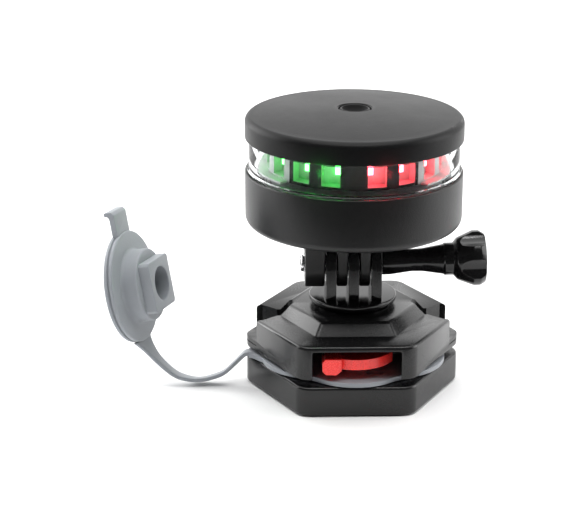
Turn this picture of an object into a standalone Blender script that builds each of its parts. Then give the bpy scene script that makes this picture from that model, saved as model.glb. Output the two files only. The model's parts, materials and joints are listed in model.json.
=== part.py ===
"""Battery navigation light on a three-prong clamp joint, standing in a quick-release lock.

The lock is a hexagonal base block, a soft tether plate and a hexagonal housing with a
lever latch. The light's foot plugs into the housing from above. A soft cap on a moulded
strap hangs beside the lock and plugs the socket when the light is away.

Metres, +Z up. The origin is the centre of the base block's underside, -Y is the bow side
(the side of the latch lever) and +X is the side of the thumb knob.
"""

import math

import bmesh
import bpy
from mathutils import Matrix, Vector

MM = 0.001
GAP = 0.3 * MM  # running gap between pieces that touch
OVERLAP = 0.6 * MM  # how far joined shapes reach into each other
TURN_SIDES = 48  # sides of the large turned pieces

# Hexagonal lock: corners on +X and -X, flats towards the bow and the stern
HEX_RADIUS = 29.5 * MM
HEX_CORNER = 4.5 * MM
BASE_TOP = 8.2 * MM
PLATE_LOW = 8.5 * MM
PLATE_TOP = 9.7 * MM
HOUSING_LOW = 10.0 * MM
SHELF = 19.6 * MM
PLATEAU = 22.7 * MM
SLOPE_FOOT_RADIUS = 21.0 * MM
PLATEAU_RADIUS = 18.0 * MM
ROOF_INSIDE = 17.8 * MM
HOUSING_WALL = 2.1 * MM
PLATE_RADIUS = 26.3 * MM
SCREW_X = 21.5 * MM  # housing screws, in the corner notches
NOTCH_FLOOR = 13.4 * MM
WINDOW_HALF = 11.7 * MM
WINDOW_TOP = 18.2 * MM

# Spigot of the mount foot, and the socket that takes it
BOSS_RADIUS = 9.7 * MM
BOSS_LOW = 18.9 * MM
NOSE_SIDE = 13.2 * MM
NOSE_CUT = 1.6 * MM
NOSE_LOW = 11.4 * MM
NOSE_BORE = 4.8 * MM

# Latch lever
LATCH_Y = -13.6 * MM
LATCH_DISC = 10.8 * MM
LATCH_CAM = 6.7 * MM
LATCH_LOW = 12.7 * MM
LATCH_TOP = 15.5 * MM
LATCH_PIN = 1.6 * MM

# Clamp joint: three prongs below, two prongs and a nut lug above
FLANGE_RADIUS = 11.8 * MM
FLANGE_LOW = 24.0 * MM
FLANGE_TOP = 25.5 * MM
PIVOT_Z = 33.8 * MM
PRONG_PITCH = 6.1 * MM
LOWER_PRONG = 2.7 * MM
UPPER_PRONG = 2.8 * MM
LOWER_ROUND = 7.0 * MM
UPPER_ROUND = 6.3 * MM
NUT_LUG_OUT = -13.1 * MM
NUT_FLATS = 8.0 * MM
NUT_THICK = 4.0 * MM
SCREW_RADIUS = 2.45 * MM
SCREW_HOLE = 3.3 * MM  # wide enough for the screw to stand at its angle
SCREW_LEAN = math.radians(1.6)  # the knob end of the screw stands this much high
SCREW_HINGE_X = -11.0 * MM  # the middle of the nut, where the screw leans about
SCREW_TIP_X = -14.3 * MM
SCREW_END_X = 18.0 * MM
KNOB_X = 7.75 * MM
KNOB_LENGTH = 28.0 * MM
KNOB_RADIUS = 7.6 * MM

# Light
LIGHT_RADIUS = 29.0 * MM
BODY_LOW = 46.0 * MM
BODY_RIM = 60.4 * MM
BODY_INSIDE = 27.5 * MM
BODY_FLOOR = 47.8 * MM
PEDESTAL_LOW = 44.8 * MM
PEDESTAL_RADIUS = 17.0 * MM
LENS_RADIUS = 28.0 * MM
LENS_INSIDE = 26.2 * MM
LENS_TOP = 69.05 * MM
CAP_LOW = 69.35 * MM
CAP_TOP = 77.2 * MM
BUTTON_RADIUS = 4.1 * MM

# Light engine, hung under the cap
HEAD_TURN = math.radians(-3.1)  # where the screwed head stops, against the bow line
DRUM_RADIUS = 23.6 * MM
DRUM_LOW = 61.3 * MM
DRUM_TOP = 67.6 * MM
BOARD_LOW = 67.9 * MM
BOARD_TOP = 69.1 * MM
LED_RING = 22.0 * MM
LED_PITCH = math.radians(20.4)  # five LEDs for each 112.5 degree side light
# Each pocket in the drum runs from just before its LED to well abaft it
POCKET_SPANS = {"green": (-4.2 * MM, 0.75 * MM), "red": (-0.75 * MM, 4.2 * MM), "white": (-2.05 * MM, 2.05 * MM)}
POCKET_BACK = 20.6 * MM
STERN_ARC = math.radians(135)
SIDE_LEDS = 5
STERN_LEDS = 7
POST_RING = 15.0 * MM

# Battery pack: three AAA cells side by side
CELL_RADIUS = 5.15 * MM
CELL_PITCH = 10.6 * MM
CELL_Z = 54.35 * MM
CAN_NEAR = 21.3 * MM
CAN_FAR = 22.0 * MM
NUB_END = 22.7 * MM

# Tethered socket cap
STRAP_ROOT = Vector((-28.9, -3.0, 9.1)) * MM
STRAP_WIDE = 4.2 * MM
STRAP_THICK = 1.1 * MM
CAP_CENTRE = Vector((-59.6, -2.0, 28.2)) * MM
CAP_NORMAL = Vector((0.935, -0.287, 0.211))
CAP_UP = Vector((-0.175, 0.146, 0.974))
CAP_DISC = 15.0 * MM
CAP_HALF = 1.3 * MM
CAP_NOSE_SIDE = 13.6 * MM

BLACK = (0.018, 0.018, 0.019)
GREY_TPE = (0.40, 0.42, 0.45)
RED_PLASTIC = (0.80, 0.045, 0.035)
STEEL = (0.62, 0.62, 0.63)
WHITE_PLASTIC = (0.86, 0.87, 0.86)

IDENTITY = Matrix.Identity(4)
# Local x, y, z become world y, z, x: for plates that stand across the pivot axis
ACROSS = Matrix(((0, 0, 1, 0), (1, 0, 0, 0), (0, 1, 0, 0), (0, 0, 0, 1)))
# Local z becomes world x: for pieces turned about the pivot axis
ALONG_PIVOT = Matrix.Translation((0, 0, PIVOT_Z)) @ Matrix.Rotation(math.pi / 2, 4, "Y")
# The same for the clamp screw and its knob, which lean in their holes
ABOUT_NUT = Matrix.Translation((SCREW_HINGE_X, 0, PIVOT_Z)) @ Matrix.Rotation(-SCREW_LEAN, 4, "Y")
ALONG_SCREW = ABOUT_NUT @ Matrix.Translation((-SCREW_HINGE_X, 0, 0)) @ Matrix.Rotation(math.pi / 2, 4, "Y")

for old in list(bpy.data.objects):
    bpy.data.objects.remove(old, do_unlink=True)
PARTS = bpy.data.collections.new("navigation_light")
CUTTERS = bpy.data.collections.new("cutters")
bpy.context.scene.collection.children.link(PARTS)
bpy.context.scene.collection.children.link(CUTTERS)


# Materials


def material(name, color, roughness, metallic=0.0, transmission=0.0, glow=0.0):
    made = bpy.data.materials.new(name)
    made.use_nodes = True
    shader = made.node_tree.nodes["Principled BSDF"]
    shader.inputs["Base Color"].default_value = (*color, 1)
    shader.inputs["Roughness"].default_value = roughness
    shader.inputs["Metallic"].default_value = metallic
    shader.inputs["Transmission Weight"].default_value = transmission
    shader.inputs["Emission Color"].default_value = (*color, 1)
    shader.inputs["Emission Strength"].default_value = glow
    return made


# Shapes. Each returns a new object, which finish() makes a part and tool() a cutter.


def new_object(name, mesh, place=IDENTITY):
    obj = bpy.data.objects.new(name, mesh)
    obj.matrix_world = place
    CUTTERS.objects.link(obj)
    return obj


def box(name, low, high):
    low, high = Vector(low), Vector(high)
    place = Matrix.LocRotScale((low + high) / 2, None, high - low)
    mesh = bpy.data.meshes.new(name)
    cage = bmesh.new()
    bmesh.ops.create_cube(cage, size=1, matrix=place)
    cage.to_mesh(mesh)
    cage.free()
    return new_object(name, mesh)


def cone(name, radius_low, radius_high, low, high, sides=32, centre=(0, 0), place=IDENTITY):
    """A cylinder, cone or regular prism that stands from low to high, one corner on +X."""
    mesh = bpy.data.meshes.new(name)
    middle = Matrix.Translation((*centre, (low + high) / 2)) @ Matrix.Rotation(math.pi / 2, 4, "Z")
    cage = bmesh.new()
    bmesh.ops.create_cone(
        cage,
        cap_ends=True,
        segments=sides,
        radius1=radius_low,
        radius2=radius_high,
        depth=high - low,
        matrix=place @ middle,
    )
    cage.to_mesh(mesh)
    cage.free()
    return new_object(name, mesh)


def cylinder(name, radius, low, high, sides=32, centre=(0, 0), place=IDENTITY):
    return cone(name, radius, radius, low, high, sides, centre, place)


def as_mesh(name, curve, place=IDENTITY):
    """The curve's solid as a mesh object with welded caps."""
    drawn = bpy.data.objects.new(name + "_curve", curve)
    drawn.matrix_world = place
    CUTTERS.objects.link(drawn)
    graph = bpy.context.evaluated_depsgraph_get()
    mesh = bpy.data.meshes.new_from_object(drawn.evaluated_get(graph))
    cage = bmesh.new()
    cage.from_mesh(mesh)
    bmesh.ops.remove_doubles(cage, verts=cage.verts, dist=0.001 * MM)
    bmesh.ops.recalc_face_normals(cage, faces=cage.faces)
    cage.to_mesh(mesh)
    cage.free()
    bpy.data.objects.remove(drawn, do_unlink=True)
    return new_object(name, mesh, place)


def prism(name, outline, low, high, holes=(), place=IDENTITY):
    """A flat outline with holes, filled and extruded from low to high along local z."""
    curve = bpy.data.curves.new(name, "CURVE")
    curve.dimensions = "2D"
    curve.fill_mode = "BOTH"
    curve.extrude = (high - low) / 2
    for loop in (outline, *holes):
        spline = curve.splines.new("POLY")
        spline.points.add(len(loop) - 1)
        for point, (x, y) in zip(spline.points, loop):
            point.co = (x, y, 0, 1)
        spline.use_cyclic_u = True
    return as_mesh(name, curve, place @ Matrix.Translation((0, 0, (low + high) / 2)))


def turned(name, profile, sides, closed=False, place=IDENTITY):
    """A profile of (radius, height) points turned about local z, going down its outer side."""
    points = [(radius, 0, height) for radius, height in profile]
    edges = [(i, i + 1) for i in range(len(points) - 1)]
    if closed:
        edges.append((len(points) - 1, 0))
    mesh = bpy.data.meshes.new(name)
    mesh.from_pydata(points, edges, [])
    obj = new_object(name, mesh, place)
    screw = obj.modifiers.new("Turn", "SCREW")
    screw.steps = sides
    screw.render_steps = sides
    screw.use_merge_vertices = True
    screw.merge_threshold = 0.001 * MM
    screw.use_smooth_shade = True
    return obj


# Outlines


def arc(centre, radius, start, end, steps):
    """Points on a circle from start to end, in degrees, both ends included."""
    points = []
    for i in range(steps + 1):
        angle = math.radians(start + (end - start) * i / steps)
        points.append((centre[0] + radius * math.cos(angle), centre[1] + radius * math.sin(angle)))
    return points


def circle(centre, radius, steps):
    return arc(centre, radius, 0, 360, steps)[:-1]


def rounded(corners, radius, steps=4):
    """A convex or concave polygon, counter-clockwise, with every corner made an arc."""
    points = []
    for i, corner in enumerate(corners):
        here = Vector(corner)
        to_last = (Vector(corners[i - 1]) - here).normalized()
        to_next = (Vector(corners[(i + 1) % len(corners)]) - here).normalized()
        half = to_last.angle(to_next) / 2
        centre = here + (to_last + to_next).normalized() * radius / math.sin(half)
        first = here + to_last * radius / math.tan(half) - centre
        last = here + to_next * radius / math.tan(half) - centre
        turn = math.atan2(first.cross(last), first.dot(last))
        for k in range(steps + 1):
            points.append(tuple(centre + Matrix.Rotation(turn * k / steps, 2) @ first))
    return points


def hexagon(radius):
    return arc((0, 0), radius, 0, 300, 5)


def rectangle(low_x, low_y, high_x, high_y):
    return [(low_x, low_y), (high_x, low_y), (high_x, high_y), (low_x, high_y)]


def cut_square(side, cut):
    """A square centred on the origin with its corners cut off."""
    half = side / 2
    points = []
    for sx, sy in ((1, 1), (-1, 1), (-1, -1), (1, -1)):
        pair = [(sx * half, sy * (half - cut)), (sx * (half - cut), sy * half)]
        points += pair if sx * sy > 0 else pair[::-1]
    return points


def notch_outline(side, grow=0.0):
    """The corner notch: wide at the hexagon's corner, narrowing to a round inner end."""
    inner = 2.35 * MM + grow
    centre_x = 18.2 * MM
    wide = 5.8 * MM + grow
    points = [(31 * MM, wide), (24.5 * MM, wide), (20.5 * MM, inner)]
    points += arc((centre_x, 0), inner, 90, 270, 8)
    points += [(20.5 * MM, -inner), (24.5 * MM, -wide), (31 * MM, -wide)]
    return [(side * x, side * y) for x, y in points]


# Modifiers


def boolean(obj, other, operation):
    modifier = obj.modifiers.new(operation.title(), "BOOLEAN")
    modifier.operation = operation
    modifier.object = other
    other.hide_render = True
    other.display_type = "WIRE"


def cut(obj, *tools):
    for other in tools:
        boolean(obj, other, "DIFFERENCE")


def join(obj, *additions):
    for other in additions:
        boolean(obj, other, "UNION")


def soften(obj, width, segments=2, angle=40):
    """Rounds the edges sharper than the angle."""
    modifier = obj.modifiers.new("Soften", "BEVEL")
    modifier.width = width
    modifier.segments = segments
    modifier.limit_method = "ANGLE"
    modifier.angle_limit = math.radians(angle)
    return obj


def finish(obj, look, frame):
    """Makes the shape a part: its material, its collection and the frame that it moves with."""
    CUTTERS.objects.unlink(obj)
    PARTS.objects.link(obj)
    if not obj.data.materials:
        obj.data.materials.append(look)
    obj.data.shade_smooth()
    obj.data.set_sharp_from_angle(angle=math.radians(35))
    obj.parent = frame
    obj.matrix_parent_inverse = Matrix.Translation(frame.location).inverted()
    return obj


def frame_at(name, place):
    """An empty on a joint's axis, which carries the pieces of one moving body."""
    empty = bpy.data.objects.new(name, None)
    empty.location = place
    empty.empty_display_size = 10 * MM
    PARTS.objects.link(empty)
    return empty


# Lock


def make_base_block(look, frame):
    block = prism("base_block", rounded(hexagon(HEX_RADIUS), HEX_CORNER), 0, BASE_TOP)
    soften(block, 0.8 * MM)
    cut(block, cylinder("base_drain_well", 7.0 * MM, 3.0 * MM, BASE_TOP + 1 * MM))
    for side in (-1, 1):
        hole = cylinder("base_screw_hole", 1.5 * MM, 2.0 * MM, BASE_TOP + 1 * MM, 16, (side * SCREW_X, 0))
        cut(block, hole)
    finish(block, look, frame)


def make_tether_plate(look, frame):
    half = STRAP_WIDE / 2
    root_y = STRAP_ROOT.y
    tongue_end = STRAP_ROOT.x + 2 * GAP
    turn = math.degrees(math.asin((half - root_y) / PLATE_RADIUS))
    other_turn = math.degrees(math.asin((half + root_y) / PLATE_RADIUS))
    outline = arc((0, 0), PLATE_RADIUS, 180 + turn, 540 + other_turn, 44)
    outline += [(tongue_end, root_y + half), (tongue_end, root_y - half)]
    holes = [circle((side * SCREW_X, 0), 2.0 * MM, 16) for side in (-1, 1)]
    holes.append(circle((0, 0), 6.5 * MM, 24))
    holes.append(rounded(rectangle(2.6 * MM, -20.2 * MM, 7.4 * MM, -17.8 * MM), 1.1 * MM, 3))
    finish(prism("tether_plate", outline, PLATE_LOW, PLATE_TOP, holes), look, frame)


def make_lock_housing(look, frame):
    body = prism("lock_housing", rounded(hexagon(HEX_RADIUS), HEX_CORNER), HOUSING_LOW, SHELF)
    soften(body, 0.9 * MM)
    foot_low = SHELF - 1 * MM
    spread = (SLOPE_FOOT_RADIUS - PLATEAU_RADIUS) / (PLATEAU - SHELF)
    foot_radius = SLOPE_FOOT_RADIUS + spread * (SHELF - foot_low)
    shoulder = cone("housing_shoulder", foot_radius, PLATEAU_RADIUS, foot_low, PLATEAU, 6)
    join(body, soften(shoulder, 0.5 * MM, 2, 20))
    cavity_radius = HEX_RADIUS - HOUSING_WALL / math.cos(math.radians(30))
    cavity = rounded(hexagon(cavity_radius), 3.0 * MM, 3)
    cut(body, prism("housing_cavity", cavity, HOUSING_LOW - 1 * MM, ROOF_INSIDE))
    core = cylinder("housing_core", 12.4 * MM, HOUSING_LOW + 0.4 * MM, ROOF_INSIDE + OVERLAP, 40)
    join(body, core)
    for side in (-1, 1):
        clip = prism("notch_clip", rounded(hexagon(HEX_RADIUS - 1 * MM), HEX_CORNER), HOUSING_LOW, SHELF)
        walls = prism(
            "notch_walls", notch_outline(side, 1.5 * MM), HOUSING_LOW + 0.4 * MM, ROOF_INSIDE + OVERLAP
        )
        boolean(walls, clip, "INTERSECT")
        join(body, walls)
        cut(body, prism("notch", notch_outline(side), NOTCH_FLOOR, PLATEAU + 1 * MM))
        shaft = cylinder("ear_hole", 1.8 * MM, HOUSING_LOW - 1 * MM, SHELF, 16, (side * SCREW_X, 0))
        cut(body, shaft)
    join(body, cylinder("pin_boss", 3.4 * MM, LATCH_TOP + GAP, ROOF_INSIDE + OVERLAP, 24, (0, LATCH_Y)))
    cut(body, cylinder("socket_bore", BOSS_RADIUS + GAP, BOSS_LOW - 0.2 * MM, PLATEAU + 1 * MM, 40))
    nose_hole = cut_square(NOSE_SIDE + 2 * GAP, NOSE_CUT)
    cut(body, prism("socket_nose_hole", nose_hole, HOUSING_LOW - 1 * MM, BOSS_LOW))
    sweep = cylinder(
        "latch_sweep", LATCH_DISC + 0.5 * MM, LATCH_LOW - 0.5 * MM, LATCH_TOP + GAP, 32, (0, LATCH_Y)
    )
    cut(body, sweep)
    window = box("window", (-WINDOW_HALF, -31 * MM, HOUSING_LOW - 1 * MM), (WINDOW_HALF, -20 * MM, WINDOW_TOP))
    cut(body, window)
    cut(body, cylinder("pin_hole", LATCH_PIN + GAP, LATCH_LOW, PLATEAU - 2 * MM, 16, (0, LATCH_Y)))
    cut(body, cylinder("pin_head_room", 3.2 * MM, HOUSING_LOW - 1 * MM, LATCH_LOW, 24, (0, LATCH_Y)))
    finish(body, look, frame)


def make_latch_pin(look, frame):
    pin = cylinder("latch_pin", LATCH_PIN, 11.0 * MM, PLATEAU - 2.4 * MM, 16, (0, LATCH_Y))
    join(pin, cylinder("pin_head", 2.8 * MM, 10.7 * MM, 11.6 * MM, 20, (0, LATCH_Y)))
    finish(pin, look, frame)


def make_housing_screws(look, frame):
    for number, side in enumerate((-1, 1), 1):
        spot = (side * SCREW_X, 0)
        screw = cylinder(f"housing_screw_{number}", 1.2 * MM, 2.6 * MM, NOTCH_FLOOR + 1 * MM, 12, spot)
        head_low = NOTCH_FLOOR + GAP
        join(screw, cone("screw_head", 2.15 * MM, 1.5 * MM, head_low, head_low + 1.5 * MM, 20, spot))
        finish(screw, look, frame)


def make_latch_lever(look, frame):
    pivot = (0, LATCH_Y)
    outline = arc(pivot, LATCH_DISC, 219, 335, 12)
    outline += arc(pivot, LATCH_CAM, 355, 365, 1)
    outline += arc(pivot, LATCH_CAM, 415, 530, 6)
    bore = circle(pivot, LATCH_PIN + GAP, 16)
    lever = prism("latch_lever", outline, LATCH_LOW, LATCH_TOP, [bore])
    soften(lever, 0.5 * MM, 1)
    thumb = box("latch_thumb", (-9.0 * MM, -25.2 * MM, 11.7 * MM), (-3.3 * MM, -19.5 * MM, 17.3 * MM))
    join(lever, soften(thumb, 0.8 * MM))
    finish(lever, look, frame)


# Mount foot


def make_mount_foot(look, frame):
    flange = [(0, FLANGE_TOP), (FLANGE_RADIUS - 0.4 * MM, FLANGE_TOP)]
    flange += [(FLANGE_RADIUS, FLANGE_TOP - 0.4 * MM), (FLANGE_RADIUS, FLANGE_LOW + 0.4 * MM)]
    flange += [(FLANGE_RADIUS - 0.4 * MM, FLANGE_LOW), (BOSS_RADIUS, FLANGE_LOW)]
    flange += [(BOSS_RADIUS, BOSS_LOW), (0, BOSS_LOW)]
    foot = turned("mount_foot", flange, 40)
    side = (LOWER_ROUND, FLANGE_TOP - OVERLAP)
    outline = arc((0, PIVOT_Z), LOWER_ROUND, 0, 180, 10) + [(-side[0], side[1]), side]
    bore = circle((0, PIVOT_Z), SCREW_HOLE, 16)
    for place in (-1, 0, 1):
        middle = place * PRONG_PITCH
        half = LOWER_PRONG / 2
        prong = prism("lower_prong", outline, middle - half, middle + half, [bore], ACROSS)
        join(foot, prong)
    nose = prism("nose", cut_square(NOSE_SIDE, NOSE_CUT), NOSE_LOW, BOSS_LOW + OVERLAP)
    join(foot, soften(nose, 0.4 * MM, 1, 60))
    cut(foot, cylinder("nose_bore", NOSE_BORE, NOSE_LOW - 1 * MM, BOSS_LOW + 2 * MM, 28))
    finish(foot, look, frame)


# Light body


def make_lower_body(look, frame):
    corner = 2.2 * MM
    profile = [(0, BODY_FLOOR), (BODY_INSIDE - 0.6 * MM, BODY_FLOOR), (BODY_INSIDE, BODY_FLOOR + 0.6 * MM)]
    profile += [(BODY_INSIDE, 59.1 * MM), (28.35 * MM, 59.1 * MM), (28.35 * MM, BODY_RIM)]
    profile += [(LIGHT_RADIUS, BODY_RIM)]
    round_centre = (LIGHT_RADIUS - corner, BODY_LOW + corner)
    profile += arc(round_centre, corner, 0, -90, 4)
    profile += [(PEDESTAL_RADIUS + 0.2 * MM, BODY_LOW), (PEDESTAL_RADIUS, PEDESTAL_LOW), (0, PEDESTAL_LOW)]
    body = turned("lower_body", profile, TURN_SIDES)
    bottom = arc((0, PIVOT_Z), UPPER_ROUND, 180, 360, 10)
    shoulder = 40.5 * MM
    wide = 8.0 * MM
    top = PEDESTAL_LOW + OVERLAP
    outline = bottom + [(UPPER_ROUND, shoulder), (wide, top), (-wide, top), (-UPPER_ROUND, shoulder)]
    bore = circle((0, PIVOT_Z), SCREW_HOLE, 16)
    half = UPPER_PRONG / 2
    nut_lug_in = -1.5 * PRONG_PITCH + half
    slabs = [(NUT_LUG_OUT, nut_lug_in)]
    slabs += [(middle - half, middle + half) for middle in (-PRONG_PITCH / 2, PRONG_PITCH / 2)]
    for low, high in slabs:
        join(body, prism("upper_prong", outline, low, high, [bore], ACROSS))
    pocket_radius = (NUT_FLATS / 2 + GAP) / math.cos(math.radians(30))
    pocket_end = NUT_LUG_OUT + NUT_THICK + 0.4 * MM
    cut(body, cylinder("nut_pocket", pocket_radius, NUT_LUG_OUT - 1 * MM, pocket_end, 6, place=ALONG_PIVOT))
    finish(body, look, frame)


def make_clamp_nut(look, frame):
    radius = NUT_FLATS / 2 / math.cos(math.radians(30))
    low = NUT_LUG_OUT + 0.1 * MM
    nut = cylinder("clamp_nut", radius, low, low + NUT_THICK, 6, place=ALONG_PIVOT)
    cut(nut, cylinder("nut_bore", SCREW_RADIUS + GAP, low - 1 * MM, low + 6 * MM, 20, place=ALONG_PIVOT))
    finish(nut, look, frame)


def make_battery_tray(look, frame):
    low, plate_top, wall_top = 48.1 * MM, 48.9 * MM, 58.0 * MM
    end_x, end_y, side_x, side_y = 24.3 * MM, 12.0 * MM, 20.0 * MM, 16.0 * MM
    outline = []
    for sx, sy in ((1, 1), (-1, 1), (-1, -1), (1, -1)):
        pair = [(sx * end_x, sy * end_y), (sx * side_x, sy * side_y)]
        outline += pair if sx * sy > 0 else pair[::-1]
    tray = prism("battery_tray", outline, low, plate_top)
    for side in (-1, 1):
        ends = sorted((side * 23.5 * MM, side * 24.1 * MM))
        wall = box("tray_end", (ends[0], -11.8 * MM, low + 0.2 * MM), (ends[1], 11.8 * MM, wall_top))
        join(tray, wall)
    finish(tray, look, frame)


def make_cells(can, contact, frame):
    """Three cells, the middle one reversed, each with a spring at its flat end."""
    for number, row in enumerate((-1, 0, 1), 1):
        facing = -1 if row == 0 else 1
        place = Matrix.Translation((0, row * CELL_PITCH, CELL_Z))
        place = place @ Matrix.Rotation(facing * math.pi / 2, 4, "Y")
        cell = cylinder(f"battery_{number}", CELL_RADIUS, -CAN_NEAR, CAN_FAR, 20, place=place)
        nub = cylinder("cell_nub", 1.9 * MM, CAN_FAR - OVERLAP, NUB_END, 16, place=place)
        join(cell, nub)
        finish(cell, can, frame)
        curve = bpy.data.curves.new("spring", "CURVE")
        curve.dimensions = "3D"
        curve.bevel_depth = 0.2 * MM
        curve.bevel_resolution = 1
        curve.use_fill_caps = True
        spline = curve.splines.new("POLY")
        steps = 14
        spline.points.add(steps)
        for i, point in enumerate(spline.points):
            share = i / steps
            angle = share * 1.6 * 2 * math.pi
            radius = (3.4 - 1.8 * share) * MM
            height = -CAN_NEAR - (0.55 + 0.65 * share) * MM
            point.co = (radius * math.cos(angle), radius * math.sin(angle), height, 1)
        finish(as_mesh(f"battery_spring_{number}", curve, place), contact, frame)


def make_contact_plates(look, frame):
    for number, side in enumerate((-1, 1), 1):
        ends = sorted((side * 23.0 * MM, side * 23.2 * MM))
        plate = box(f"contact_plate_{number}", (ends[0], -12 * MM, 51 * MM), (ends[1], 12 * MM, 57.5 * MM))
        finish(plate, look, frame)


def make_clamp_screw(look, frame):
    chamfer = 0.5 * MM
    profile = [(0, SCREW_END_X), (SCREW_RADIUS, SCREW_END_X), (SCREW_RADIUS, SCREW_TIP_X + chamfer)]
    profile += [(SCREW_RADIUS - chamfer, SCREW_TIP_X), (0, SCREW_TIP_X)]
    finish(turned("clamp_screw", profile, 24, place=ALONG_SCREW), look, frame)


def make_thumb_knob(look, frame):
    stations = [(28.0, 6.3), (27.4, 7.1), (26.6, 7.5), (25.2, KNOB_RADIUS / MM), (22.8, 6.8), (20.6, 5.6)]
    stations += [(19.2, 4.5), (16.6, 4.35), (14.6, 3.8), (10.6, 3.0), (5.6, 3.15), (2.4, 3.6), (0, 3.65)]
    profile = [(0, KNOB_X + KNOB_LENGTH)]
    profile += [(radius * MM, KNOB_X + along * MM) for along, radius in stations]
    profile += [(0, KNOB_X)]
    knob = turned("thumb_knob", profile, 30, place=ALONG_SCREW)
    cut(knob, cylinder("knob_bore", SCREW_RADIUS + GAP, 0, SCREW_END_X + GAP, 20, place=ALONG_SCREW))
    flutes = 5
    ring = 10.1 * MM
    for i in range(flutes):
        angle = math.radians(60.5 + 360 * i / flutes)
        spot = (ring * math.cos(angle), ring * math.sin(angle))
        flute = cylinder("knob_flute", 4.0 * MM, KNOB_X + 20 * MM, 40 * MM, 20, spot, ALONG_SCREW)
        cut(knob, flute)
    finish(knob, look, frame)


def make_body_seal(look, frame):
    ring = circle((27.65 * MM, 59.75 * MM), 0.4 * MM, 6)
    finish(turned("body_seal", ring[::-1], 40, closed=True), look, frame)


# Head


def make_top_cap(look, frame):
    crown = CAP_TOP - 75.2 * MM
    flat_radius = 27.6 * MM
    button_hole = BUTTON_RADIUS + GAP
    profile = []
    for i in range(5):
        radius = button_hole + (flat_radius - button_hole) * i / 4
        profile.append((radius, CAP_TOP - crown * (radius / flat_radius) ** 2))
    profile += arc((27.6 * MM, 73.8 * MM), 1.4 * MM, 70, 0, 3)
    profile += [(LIGHT_RADIUS, CAP_LOW), (25.9 * MM, CAP_LOW), (25.9 * MM, 68.2 * MM), (24.9 * MM, 68.2 * MM)]
    profile += [(24.9 * MM, 72.8 * MM), (14.0 * MM, 74.6 * MM), (button_hole, 75.0 * MM)]
    cap = turned("top_cap", profile, TURN_SIDES, closed=True)
    for i in range(3):
        spot = post_spot(i)
        join(cap, cylinder("cap_boss", 2.6 * MM, BOARD_TOP + GAP, 75.2 * MM, 20, spot))
        cut(cap, cylinder("cap_pilot", 1.5 * MM, BOARD_TOP - 1 * MM, 73.2 * MM, 12, spot))
    finish(cap, look, frame)


def post_spot(index):
    """Where one of the three cap screws stands."""
    angle = math.radians(30 + 120 * index) + HEAD_TURN
    return (POST_RING * math.cos(angle), POST_RING * math.sin(angle))


def make_power_button(look, frame):
    dish = 0.45 * MM
    profile = [(0, CAP_TOP - 0.2 * MM - dish), (2.2 * MM, CAP_TOP - 0.2 * MM - 0.7 * dish)]
    profile += [(3.6 * MM, CAP_TOP - 0.2 * MM), (BUTTON_RADIUS, CAP_TOP - 0.4 * MM)]
    profile += [(BUTTON_RADIUS, 74.7 * MM), (5.4 * MM, 74.7 * MM), (5.4 * MM, 74.0 * MM)]
    profile += [(1.6 * MM, 74.0 * MM), (1.6 * MM, 73.2 * MM), (0, 73.2 * MM)]
    finish(turned("power_button", profile, 24), look, frame)


def make_lens(look, frame):
    profile = [(LENS_INSIDE, LENS_TOP), (LENS_RADIUS, LENS_TOP), (LENS_RADIUS, 61.4 * MM)]
    profile += [(28.5 * MM, 61.2 * MM), (28.5 * MM, 60.75 * MM), (27.0 * MM, 60.75 * MM)]
    profile += [(27.0 * MM, 58.3 * MM), (26.3 * MM, 58.3 * MM), (LENS_INSIDE, 61.0 * MM)]
    finish(turned("lens", profile, TURN_SIDES, closed=True), look, frame)


def led_places():
    """Name, bearing from the bow towards -X in radians, for each LED of the ring."""
    places = []
    for i in range(SIDE_LEDS):
        bearing = (i + 0.5) * LED_PITCH
        places.append(("green", i + 1, bearing - HEAD_TURN))
        places.append(("red", i + 1, -bearing - HEAD_TURN))
    start = math.pi - STERN_ARC / 2
    for i in range(STERN_LEDS):
        bearing = start + (i + 0.5) * STERN_ARC / STERN_LEDS
        places.append(("white", i + 1, bearing - HEAD_TURN))
    return places


def make_led_drum(look, frame):
    floor_top = 63.3 * MM
    profile = [(0, floor_top), (19.0 * MM, floor_top), (19.0 * MM, DRUM_TOP), (DRUM_RADIUS, DRUM_TOP)]
    profile += [(DRUM_RADIUS, DRUM_LOW), (0, DRUM_LOW)]
    drum = turned("led_drum", profile, TURN_SIDES)
    for i in range(3):
        spot = post_spot(i)
        join(drum, cylinder("drum_post", 2.8 * MM, floor_top - OVERLAP, DRUM_TOP, 20, spot))
        cut(drum, cylinder("drum_hole", 1.5 * MM, DRUM_LOW - 1 * MM, DRUM_TOP + 1 * MM, 12, spot))
        cut(drum, cylinder("drum_recess", 2.7 * MM, DRUM_LOW - 1 * MM, DRUM_LOW + 1.4 * MM, 20, spot))
    for color, _, bearing in led_places():
        left, right = POCKET_SPANS[color]
        pocket = box("led_pocket", (left, -26 * MM, 62.1 * MM), (right, -POCKET_BACK, DRUM_TOP + 1 * MM))
        pocket.matrix_world = Matrix.Rotation(-bearing, 4, "Z")
        cut(drum, pocket)
    finish(drum, look, frame)


def make_leds(looks, frame):
    for color, number, bearing in led_places():
        name = f"{color}_led_{number}"
        half = 1.6 * MM if color == "white" else 0.55 * MM
        led = box(name, (-half, -LED_RING - 1.15 * MM, 66.2 * MM), (half, -LED_RING + 1.15 * MM, 67.6 * MM))
        led.matrix_world = Matrix.Rotation(-bearing, 4, "Z")
        finish(led, looks[color], frame)


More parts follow.
